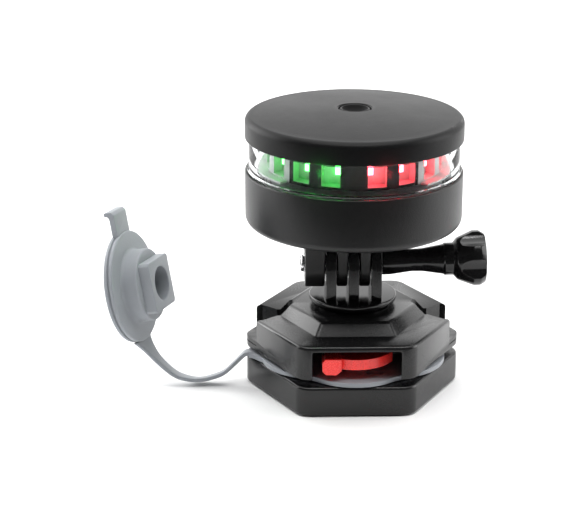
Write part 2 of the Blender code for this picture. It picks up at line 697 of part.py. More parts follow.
def make_board(looks, frame):
    board = cylinder("led_board", 24.4 * MM, BOARD_LOW, BOARD_TOP, 40)
    for i in range(3):
        cut(board, cylinder("board_hole", 1.6 * MM, BOARD_LOW - 1 * MM, BOARD_TOP + 1 * MM, 12, post_spot(i)))
    finish(board, looks["board"], frame)
    low = BOARD_TOP + GAP
    switch = box("tact_switch", (-3 * MM, -3 * MM, low), (3 * MM, 3 * MM, 71.6 * MM))
    join(switch, cylinder("switch_plunger", 1.6 * MM, 71.0 * MM, 72.2 * MM, 16))
    finish(switch, looks["switch"], frame)
    chip = box("driver_chip", (7 * MM, -6 * MM, low), (12 * MM, -2 * MM, low + 1.6 * MM))
    finish(chip, looks["switch"], frame)


def make_cap_screws(look, frame):
    for i in range(3):
        spot = post_spot(i)
        head_top = DRUM_LOW + 1.1 * MM
        screw = cylinder(f"cap_screw_{i + 1}", 1.2 * MM, head_top - OVERLAP, 72.6 * MM, 12, spot)
        join(screw, cylinder("cap_screw_head", 2.3 * MM, head_top - 1.0 * MM, head_top, 20, spot))
        finish(screw, look, frame)


# Socket cap and its strap


def cap_frame_matrix():
    """Local z is the cap's axis towards its nose, local y is its upward direction."""
    forward = CAP_NORMAL.normalized()
    up = (CAP_UP - forward * CAP_UP.dot(forward)).normalized()
    side = up.cross(forward)
    turn = Matrix((side, up, forward)).transposed().to_4x4()
    return Matrix.Translation(CAP_CENTRE) @ turn


def make_socket_cap(look, frame):
    place = cap_frame_matrix()
    rim = 0.5 * MM
    boss_top, nose_top = 5.9 * MM, 8.9 * MM
    profile = [(0, boss_top), (BOSS_RADIUS - rim, boss_top), (BOSS_RADIUS, boss_top - rim)]
    profile += [(BOSS_RADIUS, CAP_HALF), (CAP_DISC - rim, CAP_HALF), (CAP_DISC, CAP_HALF - rim)]
    profile += [(CAP_DISC, -CAP_HALF + rim), (CAP_DISC - rim, -CAP_HALF), (0, -CAP_HALF)]
    cap = turned("socket_cap", profile, 40, place=place)
    nose = prism("cap_nose", cut_square(CAP_NOSE_SIDE, 0.7 * MM), boss_top - OVERLAP, nose_top, (), place)
    join(cap, nose)
    cut(cap, cylinder("cap_nose_bore", NOSE_BORE, 3.4 * MM, nose_top + 1 * MM, 28, place=place))
    # The pull tab rises from the disc's top edge and curls back
    tab = [(13.8, -0.8), (19.2, -0.8), (20.0, -1.1), (20.3, -2.0), (21.2, -2.0), (21.2, 0.1), (20.4, 0.8), (13.8, 0.8)]
    side_view = [(y * MM, z * MM) for y, z in tab]
    half = 4.2 * MM
    join(cap, prism("pull_tab", side_view, -half, half, (), place @ ACROSS))
    finish(cap, look, frame)


def smooth_path(points, steps):
    """Points along a Catmull-Rom curve through the given ones."""
    made = []
    padded = [2 * points[0] - points[1], *points, 2 * points[-1] - points[-2]]
    for a, b, c, d in zip(padded, padded[1:], padded[2:], padded[3:]):
        for k in range(steps):
            t = k / steps
            made.append(
                0.5 * (2 * b + (c - a) * t + (2 * a - 5 * b + 4 * c - d) * t * t + (3 * b - a - 3 * c + d) * t**3)
            )
    made.append(points[-1])
    return made


def make_tether_strap(look, frame):
    """A ribbon lofted along its route. It leans back at its low point, then turns to face the cap's nose."""
    route = [(-29.9, -3.0, 8.4), (-31.8, -3.0, 6.4), (-35.0, -3.0, 3.4), (-38.6, -3.0, 1.9)]
    route += [(-42.0, -3.0, 1.3), (-45.5, -3.2, 1.9), (-48.6, -3.4, 3.4), (-52.4, -3.8, 7.2), (-55.1, -4.1, 11.0)]
    cap_place = cap_frame_matrix()
    cap_end = cap_place @ Vector((0, -CAP_DISC - 0.5 * MM, 0))
    path = smooth_path([STRAP_ROOT] + [Vector(point) * MM for point in route] + [cap_end], 2)
    cap_side, _, cap_forward = (Vector(column[:3]) for column in cap_place.transposed()[:3])
    last = len(path) - 1
    cage = bmesh.new()
    rings = []
    for i, point in enumerate(path):
        along = (path[min(i + 1, last)] - path[max(i - 1, 0)]).normalized()
        share = i / last
        lean = math.radians(8 + 16 * share if share < 0.5 else 16 - 66 * (share - 0.5))
        level = Vector((0, 1, 0)).cross(along).normalized()
        flare = max(0.0, share - 0.78) / 0.22
        facing = level * math.cos(lean) + along.cross(level) * math.sin(lean)
        across = along.cross(facing).lerp(cap_side, flare)
        facing = facing.lerp(cap_forward, flare)
        wide = STRAP_WIDE / 2 + 2.9 * MM * flare**2
        thick = STRAP_THICK / 2
        corners = [across * wide + facing * thick, -across * wide + facing * thick]
        corners += [-across * wide - facing * thick, across * wide - facing * thick]
        rings.append([cage.verts.new(point + corner) for corner in corners])
    for ring, following in zip(rings, rings[1:]):
        for k in range(4):
            after = (k + 1) % 4
            cage.faces.new((ring[k], ring[after], following[after], following[k]))
    cage.faces.new(rings[0][::-1])
    cage.faces.new(rings[-1])
    bmesh.ops.recalc_face_normals(cage, faces=cage.faces)
    mesh = bpy.data.meshes.new("tether_strap")
    cage.to_mesh(mesh)
    cage.free()
    finish(new_object("tether_strap", mesh), look, frame)


def main():
    black = material("black_plastic", BLACK, 0.45)
    gloss = material("gloss_black_plastic", BLACK, 0.28)
    tpe = material("grey_soft_plastic", GREY_TPE, 0.6)
    red = material("red_plastic", RED_PLASTIC, 0.35)
    steel = material("steel", STEEL, 0.25, metallic=1.0)
    rubber = material("seal_rubber", BLACK, 0.7)
    white = material("white_plastic", WHITE_PLASTIC, 0.4)
    clear = material("clear_lens", (0.95, 0.96, 0.96), 0.05, transmission=0.95)
    can = material("battery_can", (0.5, 0.5, 0.52), 0.35, metallic=0.6)
    engine_looks = {
        "board": material("board_green", (0.02, 0.16, 0.08), 0.4),
        "switch": material("component_black", (0.03, 0.03, 0.03), 0.5),
    }
    led_looks = {
        "green": material("green_led_lens", (0.05, 0.95, 0.35), 0.3, glow=2.0),
        "red": material("red_led_lens", (0.95, 0.04, 0.08), 0.3, glow=2.0),
        "white": material("white_led_lens", (0.95, 0.95, 0.9), 0.3),
    }

    lock = frame_at("lock_frame", (0, 0, 0))
    latch = frame_at("latch_frame", (0, LATCH_Y, LATCH_LOW))
    foot = frame_at("foot_frame", (0, 0, FLANGE_LOW))
    light = frame_at("light_frame", (0, 0, PIVOT_Z))
    screw = frame_at("screw_frame", (0, 0, PIVOT_Z))
    knob = frame_at("knob_frame", (0, 0, PIVOT_Z))
    seal = frame_at("seal_frame", (0, 0, BODY_RIM))
    head = frame_at("head_frame", (0, 0, BODY_RIM))
    button = frame_at("button_frame", (0, 0, CAP_TOP))
    tether = frame_at("tether_frame", STRAP_ROOT)

    make_base_block(black, lock)
    make_tether_plate(tpe, lock)
    make_lock_housing(black, lock)
    make_latch_pin(steel, lock)
    make_housing_screws(steel, lock)
    make_latch_lever(red, latch)
    make_mount_foot(gloss, foot)
    make_lower_body(black, light)
    make_clamp_nut(steel, light)
    make_battery_tray(black, light)
    make_cells(can, steel, light)
    make_contact_plates(steel, light)
    make_clamp_screw(steel, screw)
    make_thumb_knob(gloss, knob)
    make_body_seal(rubber, seal)
    make_top_cap(black, head)
    make_lens(clear, head)
    make_led_drum(white, head)
    make_leds(led_looks, head)
    make_board(engine_looks, head)
    make_cap_screws(steel, head)
    make_power_button(rubber, button)
    make_socket_cap(tpe, tether)
    make_tether_strap(tpe, tether)


main()
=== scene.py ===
"""Looks of the battery navigation light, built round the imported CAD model.

Sizes are in millimetres inside the shape helpers, which scale them to metres.
"""

import json
import math

import bmesh
import bpy
from mathutils import Matrix, Vector


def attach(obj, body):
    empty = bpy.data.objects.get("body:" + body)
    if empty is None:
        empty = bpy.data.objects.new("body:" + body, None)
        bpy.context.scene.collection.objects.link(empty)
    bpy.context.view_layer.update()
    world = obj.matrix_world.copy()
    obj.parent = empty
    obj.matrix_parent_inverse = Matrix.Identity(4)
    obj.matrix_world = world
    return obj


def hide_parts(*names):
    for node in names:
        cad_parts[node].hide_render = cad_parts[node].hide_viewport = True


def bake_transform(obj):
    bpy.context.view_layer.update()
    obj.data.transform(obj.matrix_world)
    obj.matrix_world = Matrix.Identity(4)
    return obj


MM = 0.001
IDENTITY = Matrix.Identity(4)

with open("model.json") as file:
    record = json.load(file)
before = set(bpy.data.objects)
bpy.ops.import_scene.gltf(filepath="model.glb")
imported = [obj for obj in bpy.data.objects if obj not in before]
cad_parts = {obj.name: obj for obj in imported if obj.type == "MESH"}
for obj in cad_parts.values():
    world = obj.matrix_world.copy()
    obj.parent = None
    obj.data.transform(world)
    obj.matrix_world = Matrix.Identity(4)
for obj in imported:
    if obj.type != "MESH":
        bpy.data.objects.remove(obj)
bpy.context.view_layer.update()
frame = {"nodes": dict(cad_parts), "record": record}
NODES = frame["nodes"]
BODY_OF = {
    node: body for body, members in frame["record"]["behaviour"]["bodies"].items() for node in members
}
WORKSHOP = bpy.data.collections.new("workshop")
bpy.context.scene.collection.children.link(WORKSHOP)

# ---------------------------------------------------------------- sizes, in mm

# The clearance between neighbouring pieces
GAP = 0.3
HEX_RADIUS = 29.5
HEX_CORNER = 4.5
BASE_TOP = 8.2
PLATE_LOW, PLATE_TOP = 8.5, 9.7
PLATE_RADIUS, PLATE_CORNER_RADIUS, TONGUE_FLARE = 26.3, 24.4, 20.0
HOUSING_LOW, SHELF, PLATEAU = 10.0, 19.6, 22.7
SLOPE_FOOT_RADIUS, PLATEAU_RADIUS = 21.0, 18.0
ROOF_INSIDE, HOUSING_WALL, CORE_RADIUS = 17.8, 2.1, 12.4
EAR_LINE_LOW, EAR_LINE_TOP, EAR_LINE_DEEP = 12.0, 12.32, 0.28
SCREW_X, NOTCH_FLOOR = 21.5, 13.4
WINDOW_HALF, WINDOW_TOP = 11.7, 18.2
BOSS_RADIUS, BOSS_LOW = 9.7, 18.9
NOSE_SIDE, NOSE_CUT, NOSE_LOW, NOSE_BORE = 13.2, 1.6, 11.4, 4.8
LATCH_Y, LATCH_DISC, LATCH_CAM = -13.6, 10.8, 6.7
LATCH_LOW, LATCH_TOP, LATCH_PIN, PIN_BOSS = 12.7, 15.5, 1.6, 3.4
FLANGE_RADIUS, FLANGE_LOW, FLANGE_TOP = 11.8, 24.0, 25.5
PIVOT_Z, PRONG_PITCH = 33.8, 6.1
LOWER_PRONG, UPPER_PRONG = 2.7, 2.8
LOWER_ROUND, UPPER_ROUND = 7.0, 6.3
NUT_LUG_OUT, NUT_FLATS, NUT_THICK = -13.1, 8.0, 4.0
SCREW_RADIUS, SCREW_TIP_X, SCREW_END_X = 2.45, -14.3, 18.0
SCREW_HOLE, SCREW_LEAN, SCREW_HINGE_X = 3.3, math.radians(1.6), -11.0
THREAD_PITCH, THREAD_DEPTH, THREAD_TURNS = 0.8, 0.36, 41
KNOB_X, KNOB_LENGTH, KNOB_RADIUS, KNOB_FLUTES = 7.75, 28.0, 7.6, 5
LIGHT_RADIUS, BODY_LOW, BODY_RIM = 29.0, 46.0, 60.4
BODY_INSIDE, BODY_FLOOR = 27.5, 47.8
PEDESTAL_LOW, PEDESTAL_RADIUS = 44.8, 17.0
LENS_RADIUS, LENS_INSIDE, LENS_TOP = 28.0, 26.2, 69.05
CAP_LOW, CAP_TOP, CAP_CROWN, BUTTON_RADIUS = 69.35, 77.2, 1.9, 4.1
HEAD_TURN = math.radians(-3.1)
DRUM_RADIUS, DRUM_LOW, DRUM_TOP = 23.6, 61.3, 67.6
SILL_RADIUS, SILL_FROM_BOW = 25.8, 46
WHITE_FROM_BOW = 44
LED_RING = 22.0
LED_PITCH = math.radians(20.4)
SIDE_LEDS, STERN_LEDS = 5, 7
POCKET_LOW, POCKET_BACK, POCKET_NEAR, POCKET_FAR, STERN_POCKET = 62.1, 20.6, 0.75, 4.2, 2.05
STERN_ARC = math.radians(135)
STRAP_ROOT = Vector((-28.9, -3.0, 9.1))
STRAP_WIDE, STRAP_THICK, STRAP_STEPS = 4.2, 1.1, 8
STRAP_FLARE, STRAP_FLARE_FROM = 2.9, 0.78
CAP_CENTRE = Vector((-59.6, -2.0, 28.2))
CAP_NORMAL = Vector((0.935, -0.287, 0.211))
CAP_UP = Vector((-0.175, 0.146, 0.974))
CAP_DISC, CAP_HALF, CAP_NOSE_SIDE, CAP_NOSE_CUT = 15.0, 1.3, 13.6, 0.7
CAP_BOSS_TOP, CAP_NOSE_TOP, TAB_HALF = 5.9, 8.9, 4.2

# Local x, y, z become world y, z, x: for plates that stand across the pivot axis
ACROSS = Matrix(((0, 0, 1, 0), (1, 0, 0, 0), (0, 1, 0, 0), (0, 0, 0, 1)))
# Local z becomes world x: for pieces turned about the pivot axis
ALONG_PIVOT = Matrix.Translation((0, 0, PIVOT_Z)) @ Matrix.Rotation(math.pi / 2, 4, "Y")
# The same for the clamp screw and its knob, which lean in their holes
ABOUT_NUT = Matrix.Translation((SCREW_HINGE_X, 0, PIVOT_Z)) @ Matrix.Rotation(-SCREW_LEAN, 4, "Y")
ALONG_SCREW = ABOUT_NUT @ Matrix.Translation((-SCREW_HINGE_X, 0, 0)) @ Matrix.Rotation(math.pi / 2, 4, "Y")
# Local x, y, z become world x, z, -y: for shapes drawn as seen from the bow
FACING_BOW = Matrix(((1, 0, 0, 0), (0, 0, -1, 0), (0, 1, 0, 0), (0, 0, 0, 1)))


# ---------------------------------------------------------------- materials


class Look:
    """A node material under construction. Textures are laid out in object space, in metres."""

    def __init__(self, name):
        self.material = bpy.data.materials.new(name)
        self.material.use_nodes = True
        self.tree = self.material.node_tree
        self.shader = self.tree.nodes["Principled BSDF"]
        self.coords = self.node("ShaderNodeTexCoord").outputs["Object"]

    def node(self, kind, **settings):
        made = self.tree.nodes.new(kind)
        for name, value in settings.items():
            setattr(made, name, value)
        return made

    def link(self, source, target):
        self.tree.links.new(source, target)

    def set(self, **values):
        for name, value in values.items():
            self.shader.inputs[name.replace("_", " ")].default_value = value

    def noise(self, size_mm, detail=3.0, roughness=0.55, stretch=None):
        """Noise whose blobs are about size_mm across, from 0 to 1."""
        made = self.node("ShaderNodeTexNoise")
        made.inputs["Scale"].default_value = 1 / (size_mm * MM)
        made.inputs["Detail"].default_value = detail
        made.inputs["Roughness"].default_value = roughness
        place = self.coords
        if stretch:
            mapping = self.node("ShaderNodeMapping")
            mapping.inputs["Scale"].default_value = stretch
            self.link(place, mapping.inputs["Vector"])
            place = mapping.outputs["Vector"]
        self.link(place, made.inputs["Vector"])
        return made.outputs["Fac"]

    def spread(self, value, low, high, to_low, to_high):
        made = self.node("ShaderNodeMapRange")
        made.inputs["From Min"].default_value = low
        made.inputs["From Max"].default_value = high
        made.inputs["To Min"].default_value = to_low
        made.inputs["To Max"].default_value = to_high
        self.link(value, made.inputs["Value"])
        return made.outputs["Result"]

    def maths(self, operation, first, second):
        made = self.node("ShaderNodeMath", operation=operation)
        for socket, value in zip(made.inputs, (first, second)):
            if isinstance(value, (int, float)):
                socket.default_value = value
            else:
                self.link(value, socket)
        return made.outputs["Value"]

    def blend(self, factor, first, second, kind="MIX"):
        made = self.node("ShaderNodeMix", data_type="RGBA", blend_type=kind)
        for socket, value in zip((made.inputs[0], made.inputs[6], made.inputs[7]), (factor, first, second)):
            if isinstance(value, (int, float)):
                socket.default_value = value
            elif isinstance(value, tuple):
                socket.default_value = (*value, 1)
            else:
                self.link(value, socket)
        return made.outputs[2]

    def edges(self, low=0.52, high=0.6):
        """1 on the convex edges, where handling polishes them and moulded plastics get a painted highlight.
        """
        pointed = self.node("ShaderNodeNewGeometry").outputs["Pointiness"]
        return self.spread(pointed, low, high, 0.0, 1.0)

    def bump(self, height, depth_mm, strength=1.0, over=None):
        made = self.node("ShaderNodeBump")
        made.inputs["Strength"].default_value = strength
        made.inputs["Distance"].default_value = depth_mm * MM
        self.link(height, made.inputs["Height"])
        if over is not None:
            self.link(over, made.inputs["Normal"])
        return made.outputs["Normal"]

    def color(self, value):
        self.link(value, self.shader.inputs["Base Color"])

    def rough(self, value):
        self.link(value, self.shader.inputs["Roughness"])

    def normal(self, value):
        self.link(value, self.shader.inputs["Normal"])


def scaled(color, factor):
    return tuple(channel * factor for channel in color)


def moulded(name, color, roughness, grain_mm, grain_depth, wear_and_highlight=0.35, mottle=0.18, specular=0.5):
    """Injection-moulded plastic: spark-eroded grain, slight flow mottling, and convex edges polished by
    handling and painted lighter, partly wear and partly a painted highlight.
    """
    look = Look(name)
    fine = look.noise(grain_mm, 2.0, 0.6)
    coarse = look.noise(grain_mm * 3.1, 3.0, 0.5)
    flow = look.noise(19.0, 4.0, 0.6)
    tint = look.blend(flow, scaled(color, 1 - mottle), scaled(color, 1 + mottle))
    speck = look.spread(fine, 0.35, 0.7, 0.86, 1.14)
    tint = look.blend(1.0, tint, speck, "MULTIPLY")
    # Convex edges are painted lighter: partly handling wear, partly a painted highlight; the same mask lowers
    # their roughness
    worn_and_highlit = look.maths("MULTIPLY", look.edges(), wear_and_highlight)
    tint = look.blend(worn_and_highlit, tint, scaled(color, 2.1))
    look.color(tint)
    base = look.spread(flow, 0.3, 0.7, roughness - 0.035, roughness + 0.035)
    grainy = look.maths("ADD", base, look.spread(fine, 0.3, 0.7, -0.03, 0.03))
    look.rough(look.maths("SUBTRACT", grainy, look.maths("MULTIPLY", worn_and_highlit, 0.25)))
    mixed = look.maths("ADD", look.maths("MULTIPLY", fine, 0.6), look.maths("MULTIPLY", coarse, 0.4))
    look.normal(look.bump(mixed, grain_depth))
    look.set(Specular_IOR_Level=specular)
    return look


def soft_plastic(name, color):
    """Matte thermoplastic rubber: faint bloom, fine tooling grain and a soft sheen."""
    look = Look(name)
    flow = look.noise(9.0, 4.0, 0.6)
    fine = look.noise(0.32, 2.0, 0.6)
    tint = look.blend(flow, scaled(color, 0.93), scaled(color, 1.06))
    tint = look.blend(look.spread(fine, 0.4, 0.75, 0.0, 0.12), tint, scaled(color, 1.35))
    look.color(tint)
    look.rough(look.spread(flow, 0.3, 0.7, 0.5, 0.62))
    first = look.bump(fine, 0.02)
    look.normal(look.bump(look.noise(4.5, 3.0, 0.5), 0.12, 0.5, first))
    look.set(Subsurface_Weight=0.12, Subsurface_Radius=(0.004, 0.004, 0.005), Subsurface_Scale=0.3)
    look.set(Sheen_Weight=0.12, Sheen_Roughness=0.5)
    return look


def metal(name, color, roughness, stretch=(1, 1, 1)):
    """Plated or stainless steel with fine turning marks."""
    look = Look(name)
    marks = look.noise(0.25, 4.0, 0.65, stretch)
    blotch = look.noise(3.0, 3.0, 0.6)
    look.color(look.blend(blotch, scaled(color, 0.86), scaled(color, 1.08)))
    base = look.spread(marks, 0.3, 0.7, roughness - 0.07, roughness + 0.09)
    look.rough(base)
    look.normal(look.bump(marks, 0.008))
    look.set(Metallic=1.0)
    return look


def clear_plastic(name):
    """Polished polycarbonate with faint moulding waves. Lamps shine through it."""
    look = Look(name)
    waves = look.noise(14.0, 2.0, 0.5, (1, 1, 0.25))
    smear = look.noise(6.0, 3.0, 0.6)
    look.set(Base_Color=(0.965, 0.985, 0.98, 1), Transmission_Weight=1.0, IOR=1.16)
    look.rough(look.spread(smear, 0.35, 0.75, 0.012, 0.05))
    look.normal(look.bump(waves, 0.05, 0.6))
    through = look.node("ShaderNodeBsdfTransparent")
    through.inputs["Color"].default_value = (0.93, 0.96, 0.95, 1)
    ray = look.node("ShaderNodeLightPath").outputs["Is Shadow Ray"]
    both = look.node("ShaderNodeMixShader")
    look.link(ray, both.inputs[0])
    look.link(look.shader.outputs[0], both.inputs[1])
    look.link(through.outputs[0], both.inputs[2])
    look.link(both.outputs[0], look.tree.nodes["Material Output"].inputs["Surface"])
    return look


def lamp(name, color, strength, hot=0.35):
    """The face of an LED, with pale spots of phosphor in it."""
    look = Look(name)
    dots = look.noise(0.4, 2.0, 0.5)
    tint = look.blend(look.spread(dots, 0.35, 0.7, 0.0, hot), color, (1.0, 1.0, 1.0))
    look.color(tint)
    look.link(tint, look.shader.inputs["Emission Color"])
    look.set(Emission_Strength=strength, Roughness=0.25)
    return look


def dress(node, look):
    """Gives a CAD node that stays in view its material."""
    obj = NODES[node]
    obj.data.materials.clear()
    obj.data.materials.append(look.material)
    obj.data.set_sharp_from_angle(angle=math.radians(35))


# ---------------------------------------------------------------- shapes


def new_object(name, mesh, place=IDENTITY):
    obj = bpy.data.objects.new(name, mesh)
    WORKSHOP.objects.link(obj)
    obj.matrix_world = place
    return obj


def from_cage(name, cage, place=IDENTITY):
    mesh = bpy.data.meshes.new(name)
    cage.to_mesh(mesh)
    cage.free()
    obj = new_object(name, mesh)
    mesh.transform(place)
    mesh.transform(Matrix.Scale(MM, 4))
    return obj


def turned(name, profile, sides=128, closed=False, place=IDENTITY, start=0.0):
    """A profile of (radius, height) points turned about local z."""
    cage = bmesh.new()
    rings = []
    for radius, height in profile:
        if radius < 1e-6:
            rings.append([cage.verts.new((0, 0, height))] * sides)
            continue
        ring = []
        for i in range(sides):
            angle = start + 2 * math.pi * i / sides
            ring.append(cage.verts.new((radius * math.cos(angle), radius * math.sin(angle), height)))
        rings.append(ring)
    pairs = list(zip(rings, rings[1:]))
    if closed:
        pairs.append((rings[-1], rings[0]))
    for upper, lower in pairs:
        for i in range(sides):
            j = (i + 1) % sides
            corners = []
            for vert in (upper[i], upper[j], lower[j], lower[i]):
                if vert not in corners:
                    corners.append(vert)
            if len(corners) > 2:
                cage.faces.new(corners)
    bmesh.ops.recalc_face_normals(cage, faces=cage.faces)
    return from_cage(name, cage, place)


def prism(name, outline, low, high, holes=(), place=IDENTITY):
    """A flat outline with holes, filled and extruded from low to high along local z."""
    curve = bpy.data.curves.new(name, "CURVE")
    curve.dimensions = "2D"
    curve.fill_mode = "BOTH"
    curve.extrude = (high - low) / 2
    for loop in (outline, *holes):
        spline = curve.splines.new("POLY")
        spline.points.add(len(loop) - 1)
        for point, (x, y) in zip(spline.points, loop):
            point.co = (x, y, 0, 1)
        spline.use_cyclic_u = True
    drawn = bpy.data.objects.new(name + "_curve", curve)
    WORKSHOP.objects.link(drawn)
    mesh = bpy.data.meshes.new_from_object(drawn.evaluated_get(bpy.context.evaluated_depsgraph_get()))
    bpy.data.objects.remove(drawn, do_unlink=True)
    cage = bmesh.new()
    cage.from_mesh(mesh)
    bmesh.ops.remove_doubles(cage, verts=cage.verts, dist=0.001)
    bmesh.ops.dissolve_limit(cage, angle_limit=0.002, verts=cage.verts, edges=cage.edges, delimit={"NORMAL"})
    bmesh.ops.recalc_face_normals(cage, faces=cage.faces)
    return from_cage(name, cage, place @ Matrix.Translation((0, 0, (low + high) / 2)))


def box(name, low, high, place=IDENTITY):
    low, high = Vector(low), Vector(high)
    cage = bmesh.new()
    bmesh.ops.create_cube(cage, size=1, matrix=Matrix.LocRotScale((low + high) / 2, None, high - low))
    return from_cage(name, cage, place)


def cylinder(name, radius, low, high, sides=48, centre=(0, 0), place=IDENTITY):
    profile = [(0, high), (radius, high), (radius, low), (0, low)]
    return turned(name, profile, sides, place=place @ Matrix.Translation((*centre, 0)))


def applied(obj):
    """The object with its modifiers made real."""
    graph = bpy.context.evaluated_depsgraph_get()
    mesh = bpy.data.meshes.new_from_object(obj.evaluated_get(graph))
    obj.modifiers.clear()
    obj.data = mesh
    return obj


def boolean(obj, others, operation):
    for other in others:
        modifier = obj.modifiers.new(operation, "BOOLEAN")
        modifier.operation = operation
        modifier.solver = "EXACT"
        modifier.object = other
    applied(obj)
    for other in others:
        bpy.data.objects.remove(other, do_unlink=True)
    return obj


def cut(obj, *others):
    return boolean(obj, others, "DIFFERENCE")


def join(obj, *others):
    return boolean(obj, others, "UNION")


def soften(obj, width, segments=3, angle=38):
    """Rounds the edges sharper than the angle, width in mm."""
    modifier = obj.modifiers.new("Soften", "BEVEL")
    modifier.width = width * MM
    modifier.segments = segments
    modifier.limit_method = "ANGLE"
    modifier.angle_limit = math.radians(angle)
    modifier.use_clamp_overlap = True
    modifier.miter_outer = "MITER_ARC"
    return applied(obj)


def tidy(obj, within=0.002):
    """Merges what a boolean left doubled, and dissolves flat seams."""
    cage = bmesh.new()
    cage.from_mesh(obj.data)
    bmesh.ops.remove_doubles(cage, verts=cage.verts, dist=within * MM)
    bmesh.ops.dissolve_degenerate(cage, edges=cage.edges, dist=within * MM)
    everything = {"verts": cage.verts, "edges": cage.edges}
    bmesh.ops.dissolve_limit(cage, angle_limit=0.004, delimit={"MATERIAL"}, **everything)
    cage.to_mesh(obj.data)
    cage.free()
    return obj


def show(obj, looks, node, body=None, sharp=32):
    """Makes the shape a piece of the object, in place of a CAD node."""
    WORKSHOP.objects.unlink(obj)
    bpy.context.scene.collection.objects.link(obj)
    if not isinstance(looks, (list, tuple)):
        looks = [looks]
    if not obj.data.materials:
        for look in looks:
            obj.data.materials.append(look.material)
    obj.data.shade_smooth()
    obj.data.set_sharp_from_angle(angle=math.radians(sharp))
    if node:
        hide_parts(node)
        body = BODY_OF[node]
    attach(obj, body)
    return obj


# ---------------------------------------------------------------- outlines


def arc(centre, radius, start, end, steps):
    """Points on a circle from start to end, in degrees, both ends included."""
    points = []
    for i in range(steps + 1):
        angle = math.radians(start + (end - start) * i / steps)
        points.append((centre[0] + radius * math.cos(angle), centre[1] + radius * math.sin(angle)))
    return points


def circle(centre, radius, steps):
    return arc(centre, radius, 0, 360, steps)[:-1]


def corner_arc(last, here, following, radius, steps):
    """The points that round the corner at here."""
    here = Vector(here)
    to_last = Vector(last) - here
    to_next = Vector(following) - here
    half = to_last.angle(to_next) / 2
    reach = radius / math.tan(half)
    longest = 0.49 * min(to_last.length, to_next.length)
    if reach > longest:
        radius *= longest / reach
    to_last.normalize()
    to_next.normalize()
    centre = here + (to_last + to_next).normalized() * radius / math.sin(half)
    first = here + to_last * radius / math.tan(half) - centre
    last_arm = here + to_next * radius / math.tan(half) - centre
    turn = math.atan2(first.cross(last_arm), first.dot(last_arm))
    return [tuple(centre + Matrix.Rotation(turn * k / steps, 2) @ first) for k in range(steps + 1)]


def rounded(corners, radius, steps=8):
    """A closed polygon with every corner made an arc."""
    points = []
    for i, corner in enumerate(corners):
        points += corner_arc(corners[i - 1], corner, corners[(i + 1) % len(corners)], radius, steps)
    return points


def eased(corners, steps=4):
    """An open or closed profile of (x, y, radius) corners, each rounded by its own radius."""
    points = []
    count = len(corners)
    for i, (x, y, radius) in enumerate(corners):
        if radius <= 0:
            points.append((x, y))
            continue
        last = corners[i - 1][:2]
        following = corners[(i + 1) % count][:2]
        points += corner_arc(last, (x, y), following, radius, steps)
    return points


def hexagon(radius):
    return arc((0, 0), radius, 0, 300, 5)


def cut_square(side, cut_size):
    """A square centred on the origin with its corners cut off."""
    half = side / 2
    points = []
    for sx, sy in ((1, 1), (-1, 1), (-1, -1), (1, -1)):
        pair = [(sx * half, sy * (half - cut_size)), (sx * (half - cut_size), sy * half)]
        points += pair if sx * sy > 0 else pair[::-1]
    return points


def notch_outline(side, grow=0.0):
    """The corner notch: wide at the hexagon's corner, narrowing to a round inner end."""
    inner = 2.35 + grow
    wide = 5.8 + grow
    points = [(31, wide), (24.5, wide), (20.5, inner)]
    points += arc((18.2, 0), inner, 90, 270, 16)
    points += [(20.5, -inner), (24.5, -wide), (31, -wide)]
    return [(side * x, side * y) for x, y in points]


def around(bearing):
    """Turns something built at the bow to a bearing from the bow towards -X."""
    return Matrix.Rotation(-bearing, 4, "Z")


def smooth_path(points, steps):
    """Points along a Catmull-Rom curve through the given ones."""
    made = []
    padded = [2 * points[0] - points[1], *points, 2 * points[-1] - points[-2]]
    for a, b, c, d in zip(padded, padded[1:], padded[2:], padded[3:]):
        for k in range(steps):
            t = k / steps
            bend = (2 * a - 5 * b + 4 * c - d) * t * t
            made.append(0.5 * (2 * b + (c - a) * t + bend + (3 * b - a - 3 * c + d) * t**3))
    made.append(points[-1])
    return made


# ---------------------------------------------------------------- the looks used

BLACK = (0.0065, 0.0065, 0.0068)
case_black = moulded("case_black", BLACK, 0.38, 0.32, 0.06, wear_and_highlight=0.4, specular=0.36)
cap_black = moulded("cap_black", BLACK, 0.38, 0.32, 0.05, wear_and_highlight=0.4, specular=0.14)
lock_black = moulded("lock_black", scaled(BLACK, 1.05), 0.26, 0.28, 0.02, wear_and_highlight=0.6, specular=0.42)
gloss_black = moulded("gloss_black", scaled(BLACK, 0.7), 0.18, 0.5, 0.006, wear_and_highlight=0.5, specular=0.42)
red_plastic = moulded("red_plastic", (0.90, 0.035, 0.03), 0.30, 0.4, 0.008, wear_and_highlight=0.12, mottle=0.06)
tpe = soft_plastic("grey_soft_plastic", (0.272, 0.288, 0.312))
steel = metal("steel", (0.66, 0.66, 0.67), 0.24)
blackened = metal("blackened_steel", (0.10, 0.10, 0.105), 0.38)
plating = metal("nickel_contact", (0.62, 0.60, 0.55), 0.3)
rubber = moulded("seal_rubber", scaled(BLACK, 0.7), 0.7, 0.25, 0.02, wear_and_highlight=0.1, specular=0.2)
white_core = moulded("white_core", (0.40, 0.41, 0.41), 0.42, 0.3, 0.01, wear_and_highlight=0.0, mottle=0.04)
